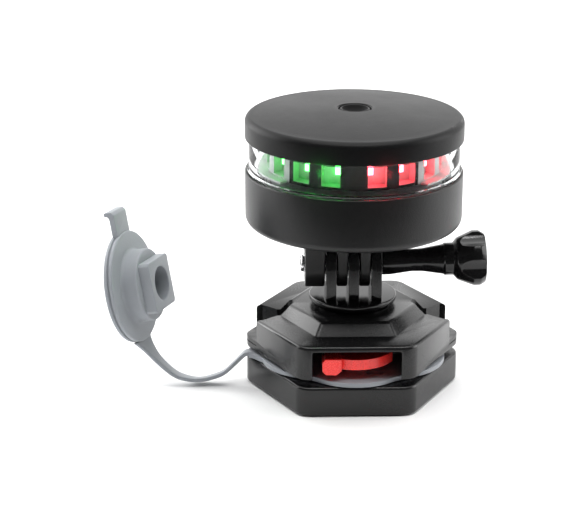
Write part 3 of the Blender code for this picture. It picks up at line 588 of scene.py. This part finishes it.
# A darker, duller black for the button's dish: painted shade in the hollow
dish_painted_shade = moulded("dish_painted_shade", scaled(BLACK, 0.3), 0.6, 0.25, 0.01, wear_and_highlight=0.0, specular=0.08)
engine_black = moulded("engine_black", scaled(BLACK, 0.8), 0.25, 0.4, 0.005, wear_and_highlight=0.0, specular=0.14)
pocket_grey = moulded("pocket_grey", (0.36, 0.36, 0.36), 0.4, 0.4, 0.01, wear_and_highlight=0.0)
component = moulded("component_black", scaled(BLACK, 1.3), 0.5, 0.2, 0.01, wear_and_highlight=0.1)
board = moulded("solder_mask", (0.02, 0.15, 0.075), 0.3, 0.6, 0.006, wear_and_highlight=0.1, mottle=0.12)
can = moulded("battery_sleeve", (0.30, 0.31, 0.33), 0.3, 0.5, 0.004, wear_and_highlight=0.2, mottle=0.1)
lens_look = clear_plastic("clear_lens")
green_lamp = lamp("green_led_lens", (0.09, 1.0, 0.12), 10.0, hot=0.04)
red_lamp = lamp("red_led_lens", (1.0, 0.03, 0.05), 36.0, hot=0.04)
white_lamp = lamp("white_led_lens", (0.95, 0.95, 0.86), 0.05)


# ---------------------------------------------------------------- lock


def base_block():
    block = prism("base_moulding", rounded(hexagon(HEX_RADIUS), HEX_CORNER, 10), 0, BASE_TOP)
    soften(block, 0.8, 4)
    cut(block, cylinder("well", 7.0, 3.0, BASE_TOP + 1))
    show(tidy(block), lock_black, "base_block")


def tether_plate():
    half = STRAP_WIDE / 2
    root_y = STRAP_ROOT.y
    tongue_end = STRAP_ROOT.x + 2 * GAP
    rim_end = 540 - math.degrees(math.asin((half + root_y) / PLATE_CORNER_RADIUS))
    outline = []
    for x, y in arc((0, 0), 1, 180 + TONGUE_FLARE, rim_end, 240):
        # The rim bows out at the hexagon's flats and hides behind its corners
        from_flat = abs((math.degrees(math.atan2(y, x)) + 360) % 60 - 30)
        drawn_in = min(from_flat / 25, 1.0) ** 2
        radius = PLATE_RADIUS - (PLATE_RADIUS - PLATE_CORNER_RADIUS) * drawn_in
        outline.append((radius * x, radius * y))
    outline += [(tongue_end, root_y + half), (tongue_end, root_y - half)]
    # The tongue's bow side flares into the rim
    outline += [(-27.2, -5.8), (-25.9, -7.2)]
    holes = [circle((side * SCREW_X, 0), 2.0, 32) for side in (-1, 1)]
    holes.append(circle((0, 0), 6.5, 64))
    slot = [(2.6, -20.2), (7.4, -20.2), (7.4, -17.8), (2.6, -17.8)]
    holes.append(rounded(slot, 1.1, 8))
    plate = prism("tether_plate_moulding", outline, PLATE_LOW, PLATE_TOP, holes)
    soften(plate, 0.25, 3)
    show(plate, tpe, "tether_plate")


def housing_shell():
    """The hexagonal block with its sloped shoulder, hollowed from below."""
    body = prism("housing_moulding", rounded(hexagon(HEX_RADIUS), HEX_CORNER, 10), HOUSING_LOW, SHELF)
    soften(body, 0.9, 4)
    # The shoulder starts 1 mm inside the block, on the same slope
    spread = (SLOPE_FOOT_RADIUS - PLATEAU_RADIUS) / (PLATEAU - SHELF)
    foot_radius = SLOPE_FOOT_RADIUS + spread
    cage = bmesh.new()
    turn = Matrix.Translation((0, 0, (SHELF - 1 + PLATEAU) / 2)) @ Matrix.Rotation(math.pi / 2, 4, "Z")
    bmesh.ops.create_cone(
        cage,
        cap_ends=True,
        segments=6,
        radius1=foot_radius,
        radius2=PLATEAU_RADIUS,
        depth=PLATEAU - SHELF + 1,
        matrix=turn,
    )
    shoulder = soften(from_cage("shoulder", cage), 0.7, 4, 20)
    join(body, shoulder)
    cavity_radius = HEX_RADIUS - HOUSING_WALL / math.cos(math.radians(30))
    cavity = prism("cavity", rounded(hexagon(cavity_radius), 3.0, 6), HOUSING_LOW - 1, ROOF_INSIDE)
    cut(body, cavity)
    return join(body, cylinder("core", CORE_RADIUS, HOUSING_LOW + 0.4, ROOF_INSIDE + 0.6, 64))


def housing_ears(body):
    """The corner notches with their walls, screw holes and parting lines."""
    for side in (-1, 1):
        clip = prism("clip", rounded(hexagon(HEX_RADIUS - 1), HEX_CORNER), HOUSING_LOW, SHELF)
        walls = prism("walls", notch_outline(side, 1.5), HOUSING_LOW + 0.4, ROOF_INSIDE + 0.6)
        boolean(walls, [clip], "INTERSECT")
        join(body, walls)
        cut(body, prism("notch", notch_outline(side), NOTCH_FLOOR, PLATEAU + 1))
    tidy(body)
    soften(body, 0.22, 2, 50)
    for side in (-1, 1):
        cut(body, cylinder("ear_hole", 1.8, HOUSING_LOW - 1, SHELF, 32, (side * SCREW_X, 0)))
        # The parting line shows on the ear below each notch
        line = prism("ear_line", rounded(hexagon(HEX_RADIUS + 1), HEX_CORNER), EAR_LINE_LOW, EAR_LINE_TOP)
        keep = prism("ear_keep", rounded(hexagon(HEX_RADIUS - EAR_LINE_DEEP), HEX_CORNER), 11.5, 13.0)
        cut(line, keep)
        near_x, far_x = sorted((side * 24.6, side * 31))
        near = box("ear_near", (near_x, -5.6, 11), (far_x, 5.6, 13))
        boolean(line, [near], "INTERSECT")
        cut(body, line)


def lock_housing():
    body = housing_shell()
    housing_ears(body)
    join(body, cylinder("pin_boss", PIN_BOSS, LATCH_TOP + GAP, ROOF_INSIDE + 0.6, 32, (0, LATCH_Y)))
    bore = BOSS_RADIUS + GAP
    lead_in = [(0, PLATEAU + 1), (BOSS_RADIUS + 1.3, PLATEAU + 1), (bore, PLATEAU - 0.5)]
    lead_in += [(bore, BOSS_LOW - 0.2), (0, BOSS_LOW - 0.2)]
    cut(body, turned("socket_bore", lead_in, 96))
    cut(body, prism("nose_hole", cut_square(NOSE_SIDE + 2 * GAP, NOSE_CUT), HOUSING_LOW - 1, BOSS_LOW))
    cut(body, cylinder("sweep", LATCH_DISC + 0.5, LATCH_LOW - 0.5, LATCH_TOP + GAP, 64, (0, LATCH_Y)))
    opening = [(-WINDOW_HALF, HOUSING_LOW - 3), (WINDOW_HALF, HOUSING_LOW - 3)]
    opening += [(WINDOW_HALF, WINDOW_TOP), (-WINDOW_HALF, WINDOW_TOP)]
    cut(body, prism("window", rounded(opening, 0.6, 4), 20, 31, (), FACING_BOW))
    cut(body, cylinder("pin_hole", LATCH_PIN + GAP, LATCH_LOW, PLATEAU - 2, 32, (0, LATCH_Y)))
    cut(body, cylinder("pin_room", 3.2, HOUSING_LOW - 1, LATCH_LOW, 32, (0, LATCH_Y)))
    show(tidy(body), lock_black, "lock_housing")


def screw_head(name, centre, low, look, node, thread_low):
    """A pan head with a cross recess, on its shank."""
    x, y = centre
    profile = eased([(0, low + 1.5, 0), (1.75, low + 1.5, 0.7), (2.15, low, 0.15), (1.2, low, 0)], 5)
    profile += [(1.2, thread_low + 0.6), (0.5, thread_low), (0, thread_low)]
    screw = turned(name, profile, 48, place=Matrix.Translation((x, y, 0)))
    place = Matrix.Translation((x, y, 0)) @ Matrix.Rotation(math.radians(25), 4, "Z")
    for size in ((1.25, 0.28), (0.28, 1.25)):
        recess = box("recess", (-size[0], -size[1], low + 0.6), (size[0], size[1], low + 2), place)
        cut(screw, recess)
    show(screw, look, node)


def housing_screws():
    for number, side in enumerate((-1, 1), 1):
        name = f"pan_head_{number}"
        spot = (side * SCREW_X, 0)
        screw_head(name, spot, NOTCH_FLOOR + GAP, blackened, f"housing_screw_{number}", 2.6)


def latch_lever():
    pivot = (0, LATCH_Y)
    outline = arc(pivot, LATCH_DISC, 219, 335, 56)
    outline += arc(pivot, LATCH_CAM, 355, 365, 4)
    outline += arc(pivot, LATCH_CAM, 415, 530, 24)
    lever = prism("lever_moulding", outline, LATCH_LOW, LATCH_TOP, [circle(pivot, LATCH_PIN + GAP, 32)])
    face = [(-9.0, 12.7), (-8.1, 11.7), (-5.3, 11.6), (-4.0, 12.8), (-4.0, 15.9), (-8.2, 15.9), (-9.0, 15.1)]
    thumb = prism("thumb", rounded(face, 0.35, 4), 19.5, 25.2, (), FACING_BOW)
    join(lever, thumb)
    soften(lever, 0.4, 4, 35)
    show(tidy(lever), red_plastic, "latch_lever")


# ---------------------------------------------------------------- mount foot


def mount_foot():
    flange = [(0, FLANGE_TOP, 0), (FLANGE_RADIUS, FLANGE_TOP, 0.35), (FLANGE_RADIUS, FLANGE_LOW, 0.35)]
    flange += [(BOSS_RADIUS, FLANGE_LOW, 0), (BOSS_RADIUS, BOSS_LOW, 0.4), (0, BOSS_LOW, 0)]
    foot = turned("foot_moulding", eased(flange, 4), 128)
    outline = arc((0, PIVOT_Z), LOWER_ROUND, 0, 180, 40)
    outline += [(-LOWER_ROUND, FLANGE_TOP - 0.6), (LOWER_ROUND, FLANGE_TOP - 0.6)]
    for place in (-1, 0, 1):
        middle, half = place * PRONG_PITCH, LOWER_PRONG / 2
        bore = circle((0, PIVOT_Z), SCREW_HOLE, 40)
        prong = prism("prong", outline, middle - half, middle + half, [bore], ACROSS)
        join(foot, soften(prong, 0.35, 3))
    nose = prism("nose", cut_square(NOSE_SIDE, NOSE_CUT), NOSE_LOW, BOSS_LOW + 0.6)
    join(foot, soften(nose, 0.4, 3))
    cut(foot, cylinder("nose_bore", NOSE_BORE, NOSE_LOW - 1, BOSS_LOW + 2))
    show(tidy(foot), gloss_black, "mount_foot")


# ---------------------------------------------------------------- light body


def lower_body():
    profile = [(0, BODY_FLOOR, 0), (BODY_INSIDE, BODY_FLOOR, 0.6), (BODY_INSIDE, 59.1, 0)]
    profile += [(28.35, 59.1, 0), (28.35, BODY_RIM, 0.12), (LIGHT_RADIUS, BODY_RIM, 0.28)]
    profile += [(LIGHT_RADIUS, BODY_LOW, 2.2), (PEDESTAL_RADIUS + 0.2, BODY_LOW, 0.4)]
    profile += [(PEDESTAL_RADIUS, PEDESTAL_LOW, 0.4), (0, PEDESTAL_LOW, 0)]
    body = turned("body_moulding", eased(profile, 7), 160)
    bottom = arc((0, PIVOT_Z), UPPER_ROUND, 180, 360, 36)
    top = PEDESTAL_LOW + 0.6
    outline = bottom + [(UPPER_ROUND, 40.5), (8.0, top), (-8.0, top), (-UPPER_ROUND, 40.5)]
    half = UPPER_PRONG / 2
    slabs = [(NUT_LUG_OUT, -1.5 * PRONG_PITCH + half)]
    slabs += [(middle - half, middle + half) for middle in (-PRONG_PITCH / 2, PRONG_PITCH / 2)]
    for low, high in slabs:
        bore = circle((0, PIVOT_Z), SCREW_HOLE, 40)
        join(body, soften(prism("prong", outline, low, high, [bore], ACROSS), 0.45, 3))
    pocket_radius = (NUT_FLATS / 2 + GAP) / math.cos(math.radians(30))
    pocket = [(0, NUT_LUG_OUT - 1), (pocket_radius, NUT_LUG_OUT - 1)]
    pocket += [(pocket_radius, NUT_LUG_OUT + NUT_THICK + 0.4), (0, NUT_LUG_OUT + NUT_THICK + 0.4)]
    cut(body, turned("nut_pocket", pocket[::-1], 6, place=ALONG_PIVOT))
    show(tidy(body), case_black, "lower_body")


def clamp_nut():
    radius = NUT_FLATS / 2 / math.cos(math.radians(30))
    low, high = NUT_LUG_OUT + 0.1, NUT_LUG_OUT + 0.1 + NUT_THICK
    nut = turned("hex_nut", [(0, high), (radius, high), (radius, low), (0, low)], 6, place=ALONG_PIVOT)
    # The chamfer that every hexagon nut has on its faces
    chamfer = [(0, high + 0.1), (3.9, high + 0.1), (5.2, high - 0.65)]
    chamfer += [(5.2, low + 0.65), (3.9, low - 0.1), (0, low - 0.1)]
    boolean(nut, [turned("chamfer", chamfer, 64, place=ALONG_PIVOT)], "INTERSECT")
    hole = SCREW_RADIUS + GAP
    bore = [(0, high + 1), (3.0, high + 1), (hole, high - 0.4), (hole, low + 0.4)]
    bore += [(3.0, low - 1), (0, low - 1)]
    cut(nut, turned("bore", bore, 48, place=ALONG_PIVOT))
    show(soften(nut, 0.1, 2, 45), steel, "clamp_nut")


def clamp_screw():
    """An M5 screw: its thread is a helical ridge round a plain core."""
    cage = bmesh.new()
    sides = 28
    root = SCREW_RADIUS - THREAD_DEPTH
    section = ((SCREW_RADIUS, 0.0), (SCREW_RADIUS, -0.12), (root, -0.36), (root, -0.56))
    rings = []
    for i in range(THREAD_TURNS * sides + 1):
        angle = 2 * math.pi * i / sides
        along = SCREW_END_X - THREAD_PITCH * i / sides
        if along < SCREW_TIP_X + 0.5:
            break
        ring = []
        for radius, shift in section:
            ring.append(cage.verts.new((radius * math.cos(angle), radius * math.sin(angle), along + shift)))
        rings.append(ring)
    for i, (ring, following) in enumerate(zip(rings, rings[1:])):
        for a, b in zip(range(3), range(1, 4)):
            cage.faces.new((ring[a], ring[b], following[b], following[a]))
        if i + sides < len(rings) - 1:
            below, below_next = rings[i + sides], rings[i + sides + 1]
            cage.faces.new((ring[3], below[0], below_next[0], following[3]))
    bmesh.ops.recalc_face_normals(cage, faces=cage.faces)
    thread = from_cage("screw_thread", cage, ALONG_SCREW)
    core_radius = root + 0.02
    tip = [(0, SCREW_END_X, 0), (core_radius, SCREW_END_X, 0), (core_radius, SCREW_TIP_X + 0.9, 0)]
    tip += [(SCREW_RADIUS - 0.15, SCREW_TIP_X + 0.85, 0.05), (SCREW_RADIUS - 0.5, SCREW_TIP_X, 0.25)]
    tip.append((0, SCREW_TIP_X, 0))
    core = turned("screw_core", eased(tip, 4), 48, place=ALONG_SCREW)
    show(core, steel, "clamp_screw")
    show(thread, steel, None, body="screw")


def thumb_knob():
    stations = [(0, KNOB_LENGTH, 0), (6.6, KNOB_LENGTH, 0.7), (KNOB_RADIUS, 26.4, 1.2)]
    stations += [(KNOB_RADIUS, 24.6, 1.5), (5.7, 20.3, 1.5), (4.45, 19.3, 0.3), (4.45, 17.0, 0.3)]
    stations += [(4.1, 16.6, 0.6), (3.15, 11.0, 6.0)]
    stations += [(3.05, 8.0, 6.0), (3.75, 2.2, 2.0), (3.75, 0, 0.3), (0, 0, 0)]
    profile = eased([(radius, KNOB_X + along, ease) for radius, along, ease in stations], 6)
    knob = turned("knob_moulding", profile, 160, place=ALONG_SCREW)
    for i in range(KNOB_FLUTES):
        angle = math.radians(60.5 + 360 * i / KNOB_FLUTES)
        lean = Matrix.Rotation(angle, 4, "Z") @ Matrix.Translation((9.85, 0, 0))
        shape = eased([(0, 45, 0), (4.0, 45, 0), (4.0, KNOB_X + 20.3, 1.6), (0, KNOB_X + 20.3, 0)], 6)
        cut(knob, turned("flute", shape, 48, place=ALONG_SCREW @ lean))
    tidy(knob)
    soften(knob, 0.28, 2, 32)
    cut(knob, cylinder("bore", SCREW_RADIUS + GAP, 0, SCREW_END_X + GAP, 40, place=ALONG_SCREW))
    show(knob, gloss_black, "thumb_knob", sharp=38)


def body_seal():
    ring = circle((27.65, 59.75), 0.4, 14)
    show(turned("seal_ring", ring, 160, closed=True), rubber, "body_seal")


# ---------------------------------------------------------------- head


def top_cap():
    flat_radius, hole = 27.2, BUTTON_RADIUS + GAP
    skirt_out, skirt_in, skirt_low = 25.9, 24.9, 68.2
    profile = []
    for i in range(15):
        radius = hole + 0.35 + (flat_radius - hole - 0.35) * i / 14
        profile.append((radius, CAP_TOP - CAP_CROWN * (radius / flat_radius) ** 2))
    profile += arc((flat_radius, 73.55), 1.8, 76, 0, 11)
    profile += eased([(LIGHT_RADIUS, 73.4, 0), (LIGHT_RADIUS, CAP_LOW, 0.22), (skirt_out, CAP_LOW, 0)], 4)[1:]
    profile += [(skirt_out, skirt_low), (skirt_in, skirt_low), (skirt_in, 72.8), (14.0, 74.6)]
    profile += [(hole, 75.0), (hole, CAP_TOP - 0.38)]
    cap = turned("cap_moulding", profile, 192, closed=True)
    show(cap, cap_black, "top_cap")


def power_button():
    top = CAP_TOP - 0.2
    dish = [(0, top - 1.25), (1.2, top - 1.2), (2.2, top - 1.0), (2.9, top - 0.6), (3.3, top - 0.2)]
    rim = [(3.3, top - 0.2, 0), (3.55, top + 0.02, 0.2), (BUTTON_RADIUS, top - 0.2, 0.25)]
    rim.append((BUTTON_RADIUS, 74.7, 0))
    profile = dish + eased(rim, 4)[1:]
    profile += [(5.4, 74.7), (5.4, 74.0), (1.6, 74.0), (1.6, 73.2), (0, 73.2)]
    button = turned("button_moulding", profile, 96)
    for look in (cap_black, dish_painted_shade):
        button.data.materials.append(look.material)
    # Faces inside this radius, the dish, get the darker black as painted shade
    dish_radius = 3.4 * MM
    for face in button.data.polygons:
        if math.hypot(face.center.x, face.center.y) < dish_radius:
            face.material_index = 1
    show(button, cap_black, "power_button")


def lens():
    profile = [(LENS_INSIDE, LENS_TOP, 0.1), (LENS_RADIUS, LENS_TOP, 0.1), (LENS_RADIUS, 61.4, 0.1)]
    profile += [(28.5, 61.2, 0.08), (28.5, 60.75, 0.08), (27.0, 60.75, 0.05), (27.0, 58.3, 0.1)]
    profile += [(26.3, 58.3, 0.1), (LENS_INSIDE, 61.0, 0)]
    ring = turned("lens_moulding", eased(profile, 3), 192, closed=True)
    show(ring, lens_look, "lens", sharp=40)


def led_places():
    """Colour, number and bearing from the bow towards -X in radians, for each LED of the ring."""
    places = []
    for i in range(SIDE_LEDS):
        bearing = (i + 0.5) * LED_PITCH
        places.append(("green", i + 1, bearing - HEAD_TURN))
        places.append(("red", i + 1, -bearing - HEAD_TURN))
    start = math.pi - STERN_ARC / 2
    for i in range(STERN_LEDS):
        places.append(("white", i + 1, start + (i + 0.5) * STERN_ARC / STERN_LEDS - HEAD_TURN))
    return places


def led_drum():
    floor_top = 63.3
    profile = [(0, floor_top), (19.0, floor_top), (19.0, DRUM_TOP), (DRUM_RADIUS, DRUM_TOP)]
    profile += [(DRUM_RADIUS, DRUM_LOW), (0, DRUM_LOW)]
    drum = turned("drum_moulding", profile, 160)
    spans = {
        "green": (-POCKET_FAR, POCKET_NEAR),
        "red": (-POCKET_NEAR, POCKET_FAR),
        "white": (-STERN_POCKET, STERN_POCKET),
    }
    for color, _, bearing in led_places():
        left, right = spans[color]
        low, high = (left, -26, POCKET_LOW), (right, -POCKET_BACK, DRUM_TOP + 1)
        cut(drum, box("pocket", low, high, around(bearing)))
    tidy(drum)
    for look in (engine_black, pocket_grey, white_core):
        drum.data.materials.append(look.material)
    for face in drum.data.polygons:
        x, y = face.center.x, face.center.y
        from_bow = abs(math.degrees(math.atan2(-x, -y) + HEAD_TURN))
        in_pocket = math.hypot(x, y) / MM < DRUM_RADIUS - 0.4 and face.center.z > 62 * MM
        if from_bow > WHITE_FROM_BOW:
            face.material_index = 2
        elif in_pocket:
            face.material_index = 1
    show(drum, engine_black, "led_drum")
    # A pale sill round the sides and stern fills the gap between the drum and the lens
    bow = math.degrees(HEAD_TURN) - 90
    ends = (bow + SILL_FROM_BOW, bow + 360 - SILL_FROM_BOW)
    outline = arc((0, 0), SILL_RADIUS, *ends, 120) + arc((0, 0), DRUM_RADIUS - 0.2, *ends[::-1], 120)
    sill = prism("drum_sill", outline, DRUM_LOW, DRUM_LOW + 0.5)
    show(sill, white_core, None, body="head")


def leds():
    lamps = {"green": green_lamp, "red": red_lamp, "white": white_lamp}
    for color, number, bearing in led_places():
        node = f"{color}_led_{number}"
        half, low = (1.6, 66.2) if color == "white" else (0.7, 65.3)
        face, back = -LED_RING - 1.3, -LED_RING + 1.0
        package = box(node + "_chip", (-half, face, low), (half, back, DRUM_TOP), around(bearing))
        soften(package, 0.15, 2)
        show(package, lamps[color], node)


# ---------------------------------------------------------------- socket cap and strap


def cap_frame_matrix():
    """Local z is the cap's axis towards its nose, local y is its upward direction."""
    forward = CAP_NORMAL.normalized()
    up = (CAP_UP - forward * CAP_UP.dot(forward)).normalized()
    side = up.cross(forward)
    turn = Matrix((side, up, forward)).transposed().to_4x4()
    return Matrix.Translation(CAP_CENTRE) @ turn


def socket_cap():
    place = cap_frame_matrix()
    groove = CAP_DISC - 0.55
    profile = [(0, CAP_BOSS_TOP, 0), (BOSS_RADIUS, CAP_BOSS_TOP, 0.5), (BOSS_RADIUS, CAP_HALF, 0.9)]
    profile += [(CAP_DISC, CAP_HALF, 0.45), (CAP_DISC, 0.4, 0.05), (groove, 0.22, 0.1)]
    profile += [(groove, -0.12, 0.1), (CAP_DISC, -0.3, 0.05), (CAP_DISC, -CAP_HALF, 0.5)]
    profile.append((0, -CAP_HALF, 0))
    cap = turned("socket_cap_moulding", eased(profile, 4), 144, place=place)
    square = cut_square(CAP_NOSE_SIDE, CAP_NOSE_CUT)
    nose = prism("nose", square, CAP_BOSS_TOP - 0.6, CAP_NOSE_TOP, (), place)
    join(cap, soften(nose, 0.22, 3))
    mouth = [(0, CAP_NOSE_TOP + 1, 0), (NOSE_BORE + 0.9, CAP_NOSE_TOP + 1, 0)]
    mouth.append((NOSE_BORE, CAP_NOSE_TOP - 0.1, 0.3))
    bore = eased(mouth, 4) + [(NOSE_BORE, 3.4), (0, 3.4)]
    cut(cap, turned("bore", bore, 72, place=place))
    tab = [(13.8, -0.8, 0), (19.2, -0.8, 0.5), (20.0, -1.1, 0.4), (20.2, -2.1, 0.45), (21.3, -2.1, 0.5)]
    tab += [(21.2, 0.1, 0.7), (20.4, 0.8, 0.7), (13.8, 0.8, 0)]
    pull = prism("tab", eased(tab, 5), -TAB_HALF, TAB_HALF, (), place @ ACROSS)
    join(cap, soften(pull, 0.22, 3))
    show(tidy(cap), tpe, "socket_cap")


def tether_strap():
    """A ribbon lofted along its route, from inside the plate's tongue into the cap's disc."""
    knots = [(-29.9, -3.0, 8.4), (-31.8, -3.0, 6.4), (-35.0, -3.0, 3.4), (-38.6, -3.0, 1.9)]
    knots += [(-42.0, -3.0, 1.3), (-45.5, -3.2, 1.9), (-48.6, -3.4, 3.4), (-52.4, -3.8, 7.2)]
    knots.append((-55.1, -4.1, 11.0))
    route = [STRAP_ROOT + Vector((1.6, 0, 0)), STRAP_ROOT] + [Vector(knot) for knot in knots]
    place = cap_frame_matrix()
    route.append(place @ Vector((0, -CAP_DISC + 0.4, 0)))
    path = smooth_path(route, STRAP_STEPS)
    cap_side, _, cap_forward = (Vector(column[:3]) for column in place.transposed()[:3])
    last = len(path) - 1
    section = eased([(1, 1, 0.3), (-1, 1, 0.3), (-1, -1, 0.3), (1, -1, 0.3)], 3)
    cage = bmesh.new()
    rings = []
    for i, point in enumerate(path):
        along = (path[min(i + 1, last)] - path[max(i - 1, 0)]).normalized()
        share = max(0.0, (i - STRAP_STEPS) / (last - STRAP_STEPS))
        # The strap twists one way down to its lowest stretch, and back past level on its way up
        lean = math.radians(8 + 16 * share if share < 0.5 else 16 - 66 * (share - 0.5))
        level = Vector((0, 1, 0)).cross(along).normalized()
        # Its end turns to face as the cap does, and widens into the cap's disc
        flare = max(0.0, share - STRAP_FLARE_FROM) / (1 - STRAP_FLARE_FROM)
        facing = level * math.cos(lean) + along.cross(level) * math.sin(lean)
        across = along.cross(facing).lerp(cap_side, flare)
        facing = facing.lerp(cap_forward, flare)
        wide = STRAP_WIDE / 2 + STRAP_FLARE * flare**2
        thick = STRAP_THICK / 2
        ring = []
        for x, y in section:
            shift = across * (x * wide) + facing * (y * thick)
            ring.append(cage.verts.new(point + shift))
        rings.append(ring)
    for ring, following in zip(rings, rings[1:]):
        for k in range(len(ring)):
            after = (k + 1) % len(ring)
            cage.faces.new((ring[k], ring[after], following[after], following[k]))
    cage.faces.new(rings[0][::-1])
    cage.faces.new(rings[-1])
    bmesh.ops.recalc_face_normals(cage, faces=cage.faces)
    strap = from_cage("strap_moulding", cage)
    WORKSHOP.objects.unlink(strap)
    bpy.context.scene.collection.objects.link(strap)
    strap.data.materials.append(tpe.material)
    strap.data.shade_smooth()
    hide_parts("tether_strap")
    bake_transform(strap)


# ---------------------------------------------------------------- inner pieces that keep their CAD shape


def inner_pieces():
    dress("latch_pin", steel)
    dress("battery_tray", component)
    for number in (1, 2, 3):
        dress(f"battery_{number}", can)
        dress(f"battery_spring_{number}", plating)
        dress(f"cap_screw_{number}", steel)
    for number in (1, 2):
        dress(f"contact_plate_{number}", plating)
    dress("led_board", board)
    dress("tact_switch", component)
    dress("driver_chip", component)


# ---------------------------------------------------------------- studio, in metres

FLOOR_REACH, FLOOR_SPLIT, FLOOR_Z = 4.0, -0.10, -0.0002
WALL_DARK, WALL_BRIGHT = 0.07, 1.5
AIM = (0, 0, 0.04)
# Name, place, target, size and radiance of each softbox
SOFTBOXES = (
    ("overhead", (0, 0.1, 1.3), (0, 0.1, 0), (1.7, 1.7), 2.3),
    ("left_box", (-0.66, 0.30, 0.28), AIM, (0.75, 0.6), 3.9),
    ("right_box", (0.74, 0.04, 0.28), AIM, (0.5, 0.6), 4.0),
    ("edge_strip", (0, -0.30, 0.95), AIM, (0.7, 0.04), 26.0),
)
GLOWS = (("glow_green", -1, (0.02, 1.0, 0.08)), ("glow_red", 1, (1.0, 0.03, 0.06)))
GLOW_RING, GLOW_Z, GLOW_BEARING, GLOW_ENERGY = 0.0303, 0.0665, math.radians(19), 0.0022
CAMERA_TARGET, CAMERA_DISTANCE = Vector((0, 0, 0.045)), 0.470
CAMERA_AZIMUTH, CAMERA_ELEVATION, CAMERA_ROLL = math.radians(-3.15), math.radians(18.22), math.radians(0.72)
CAMERA_LENS, CAMERA_SHIFT = 107.13, (-0.1012, -0.0502)


def paper_floor():
    look = Look("floor_paper")
    fibre = look.noise(1.2, 4.0, 0.6)
    look.color(look.blend(fibre, (0.90, 0.90, 0.90), (0.93, 0.93, 0.93)))
    look.set(Roughness=0.9)
    left, right = -FLOOR_REACH, FLOOR_REACH
    for name, near, far in (("floor", FLOOR_SPLIT, FLOOR_REACH), ("floor_front", -FLOOR_REACH, FLOOR_SPLIT)):
        floor = bpy.data.meshes.new(name)
        corners = [(left, near, 0), (right, near, 0), (right, far, 0), (left, far, 0)]
        floor.from_pydata(corners, [], [(0, 1, 2, 3)])
        ground = bpy.data.objects.new(name, floor)
        ground.location.z = FLOOR_Z
        bpy.context.scene.collection.objects.link(ground)
        ground.data.materials.append(look.material)
        # Reflections miss the paper in front, as if that side of the room were dark
        ground.visible_glossy = name == "floor"


def back_wall():
    """A white wall behind the object, dark towards the bow side."""
    world = bpy.data.worlds.new("studio")
    bpy.context.scene.world = world
    world.use_nodes = True
    tree = world.node_tree
    back = tree.nodes["Background"]
    parts = tree.nodes.new("ShaderNodeSeparateXYZ")
    tree.links.new(tree.nodes.new("ShaderNodeTexCoord").outputs["Generated"], parts.inputs["Vector"])
    wall = tree.nodes.new("ShaderNodeMapRange")
    wall.interpolation_type = "SMOOTHSTEP"
    wall.inputs["From Min"].default_value = -0.1
    wall.inputs["From Max"].default_value = 0.85
    wall.inputs["To Min"].default_value = WALL_DARK
    wall.inputs["To Max"].default_value = WALL_BRIGHT
    tree.links.new(parts.outputs["Y"], wall.inputs["Value"])
    tree.links.new(wall.outputs["Result"], back.inputs["Strength"])
    back.inputs["Color"].default_value = (1, 1, 1, 1)


def softboxes():
    for name, place, target, size, radiance in SOFTBOXES:
        panel = bpy.data.lights.new(name, "AREA")
        panel.shape = "RECTANGLE"
        panel.size, panel.size_y = size
        # The energy that gives the panel this radiance, whatever its size
        panel.energy = radiance * math.pi * size[0] * size[1]
        obj = bpy.data.objects.new(name, panel)
        obj.location = place
        obj.rotation_euler = (Vector(target) - Vector(place)).to_track_quat("-Z", "Y").to_euler()
        bpy.context.scene.collection.objects.link(obj)


def glow_lights():
    """The glow that the lit lens throws on the cap and body beside it."""
    for name, side, tint in GLOWS:
        data = bpy.data.lights.new(name, "POINT")
        data.color = tint
        data.energy = GLOW_ENERGY
        data.shadow_soft_size = 0.0015
        glow = bpy.data.objects.new(name, data)
        bearing = -HEAD_TURN - side * GLOW_BEARING
        glow.location = (-GLOW_RING * math.sin(bearing), -GLOW_RING * math.cos(bearing), GLOW_Z)
        glow.visible_camera = False
        bpy.context.scene.collection.objects.link(glow)
        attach(glow, "head")


def camera():
    lens_data = bpy.data.cameras.new("camera")
    eye = bpy.data.objects.new("camera", lens_data)
    scene = bpy.context.scene
    scene.collection.objects.link(eye)
    scene.camera = eye
    scene.view_settings.view_transform = "Standard"
    level = math.cos(CAMERA_ELEVATION)
    back_way = Vector(
        (math.sin(CAMERA_AZIMUTH) * level, -math.cos(CAMERA_AZIMUTH) * level, math.sin(CAMERA_ELEVATION))
    )
    eye.location = CAMERA_TARGET + back_way * CAMERA_DISTANCE
    facing = (-back_way).to_track_quat("-Z", "Y").to_matrix().to_4x4()
    eye.rotation_euler = (facing @ Matrix.Rotation(CAMERA_ROLL, 4, "Z")).to_euler()
    lens_data.lens = CAMERA_LENS
    lens_data.shift_x, lens_data.shift_y = CAMERA_SHIFT
    lens_data.clip_start, lens_data.clip_end = 0.01, 20


for build in (
    base_block,
    tether_plate,
    lock_housing,
    housing_screws,
    latch_lever,
    mount_foot,
    lower_body,
    clamp_nut,
    clamp_screw,
    thumb_knob,
    body_seal,
    top_cap,
    power_button,
    lens,
    led_drum,
    leds,
    socket_cap,
    tether_strap,
    inner_pieces,
    paper_floor,
    back_wall,
    softboxes,
    glow_lights,
    camera,
):
    build()
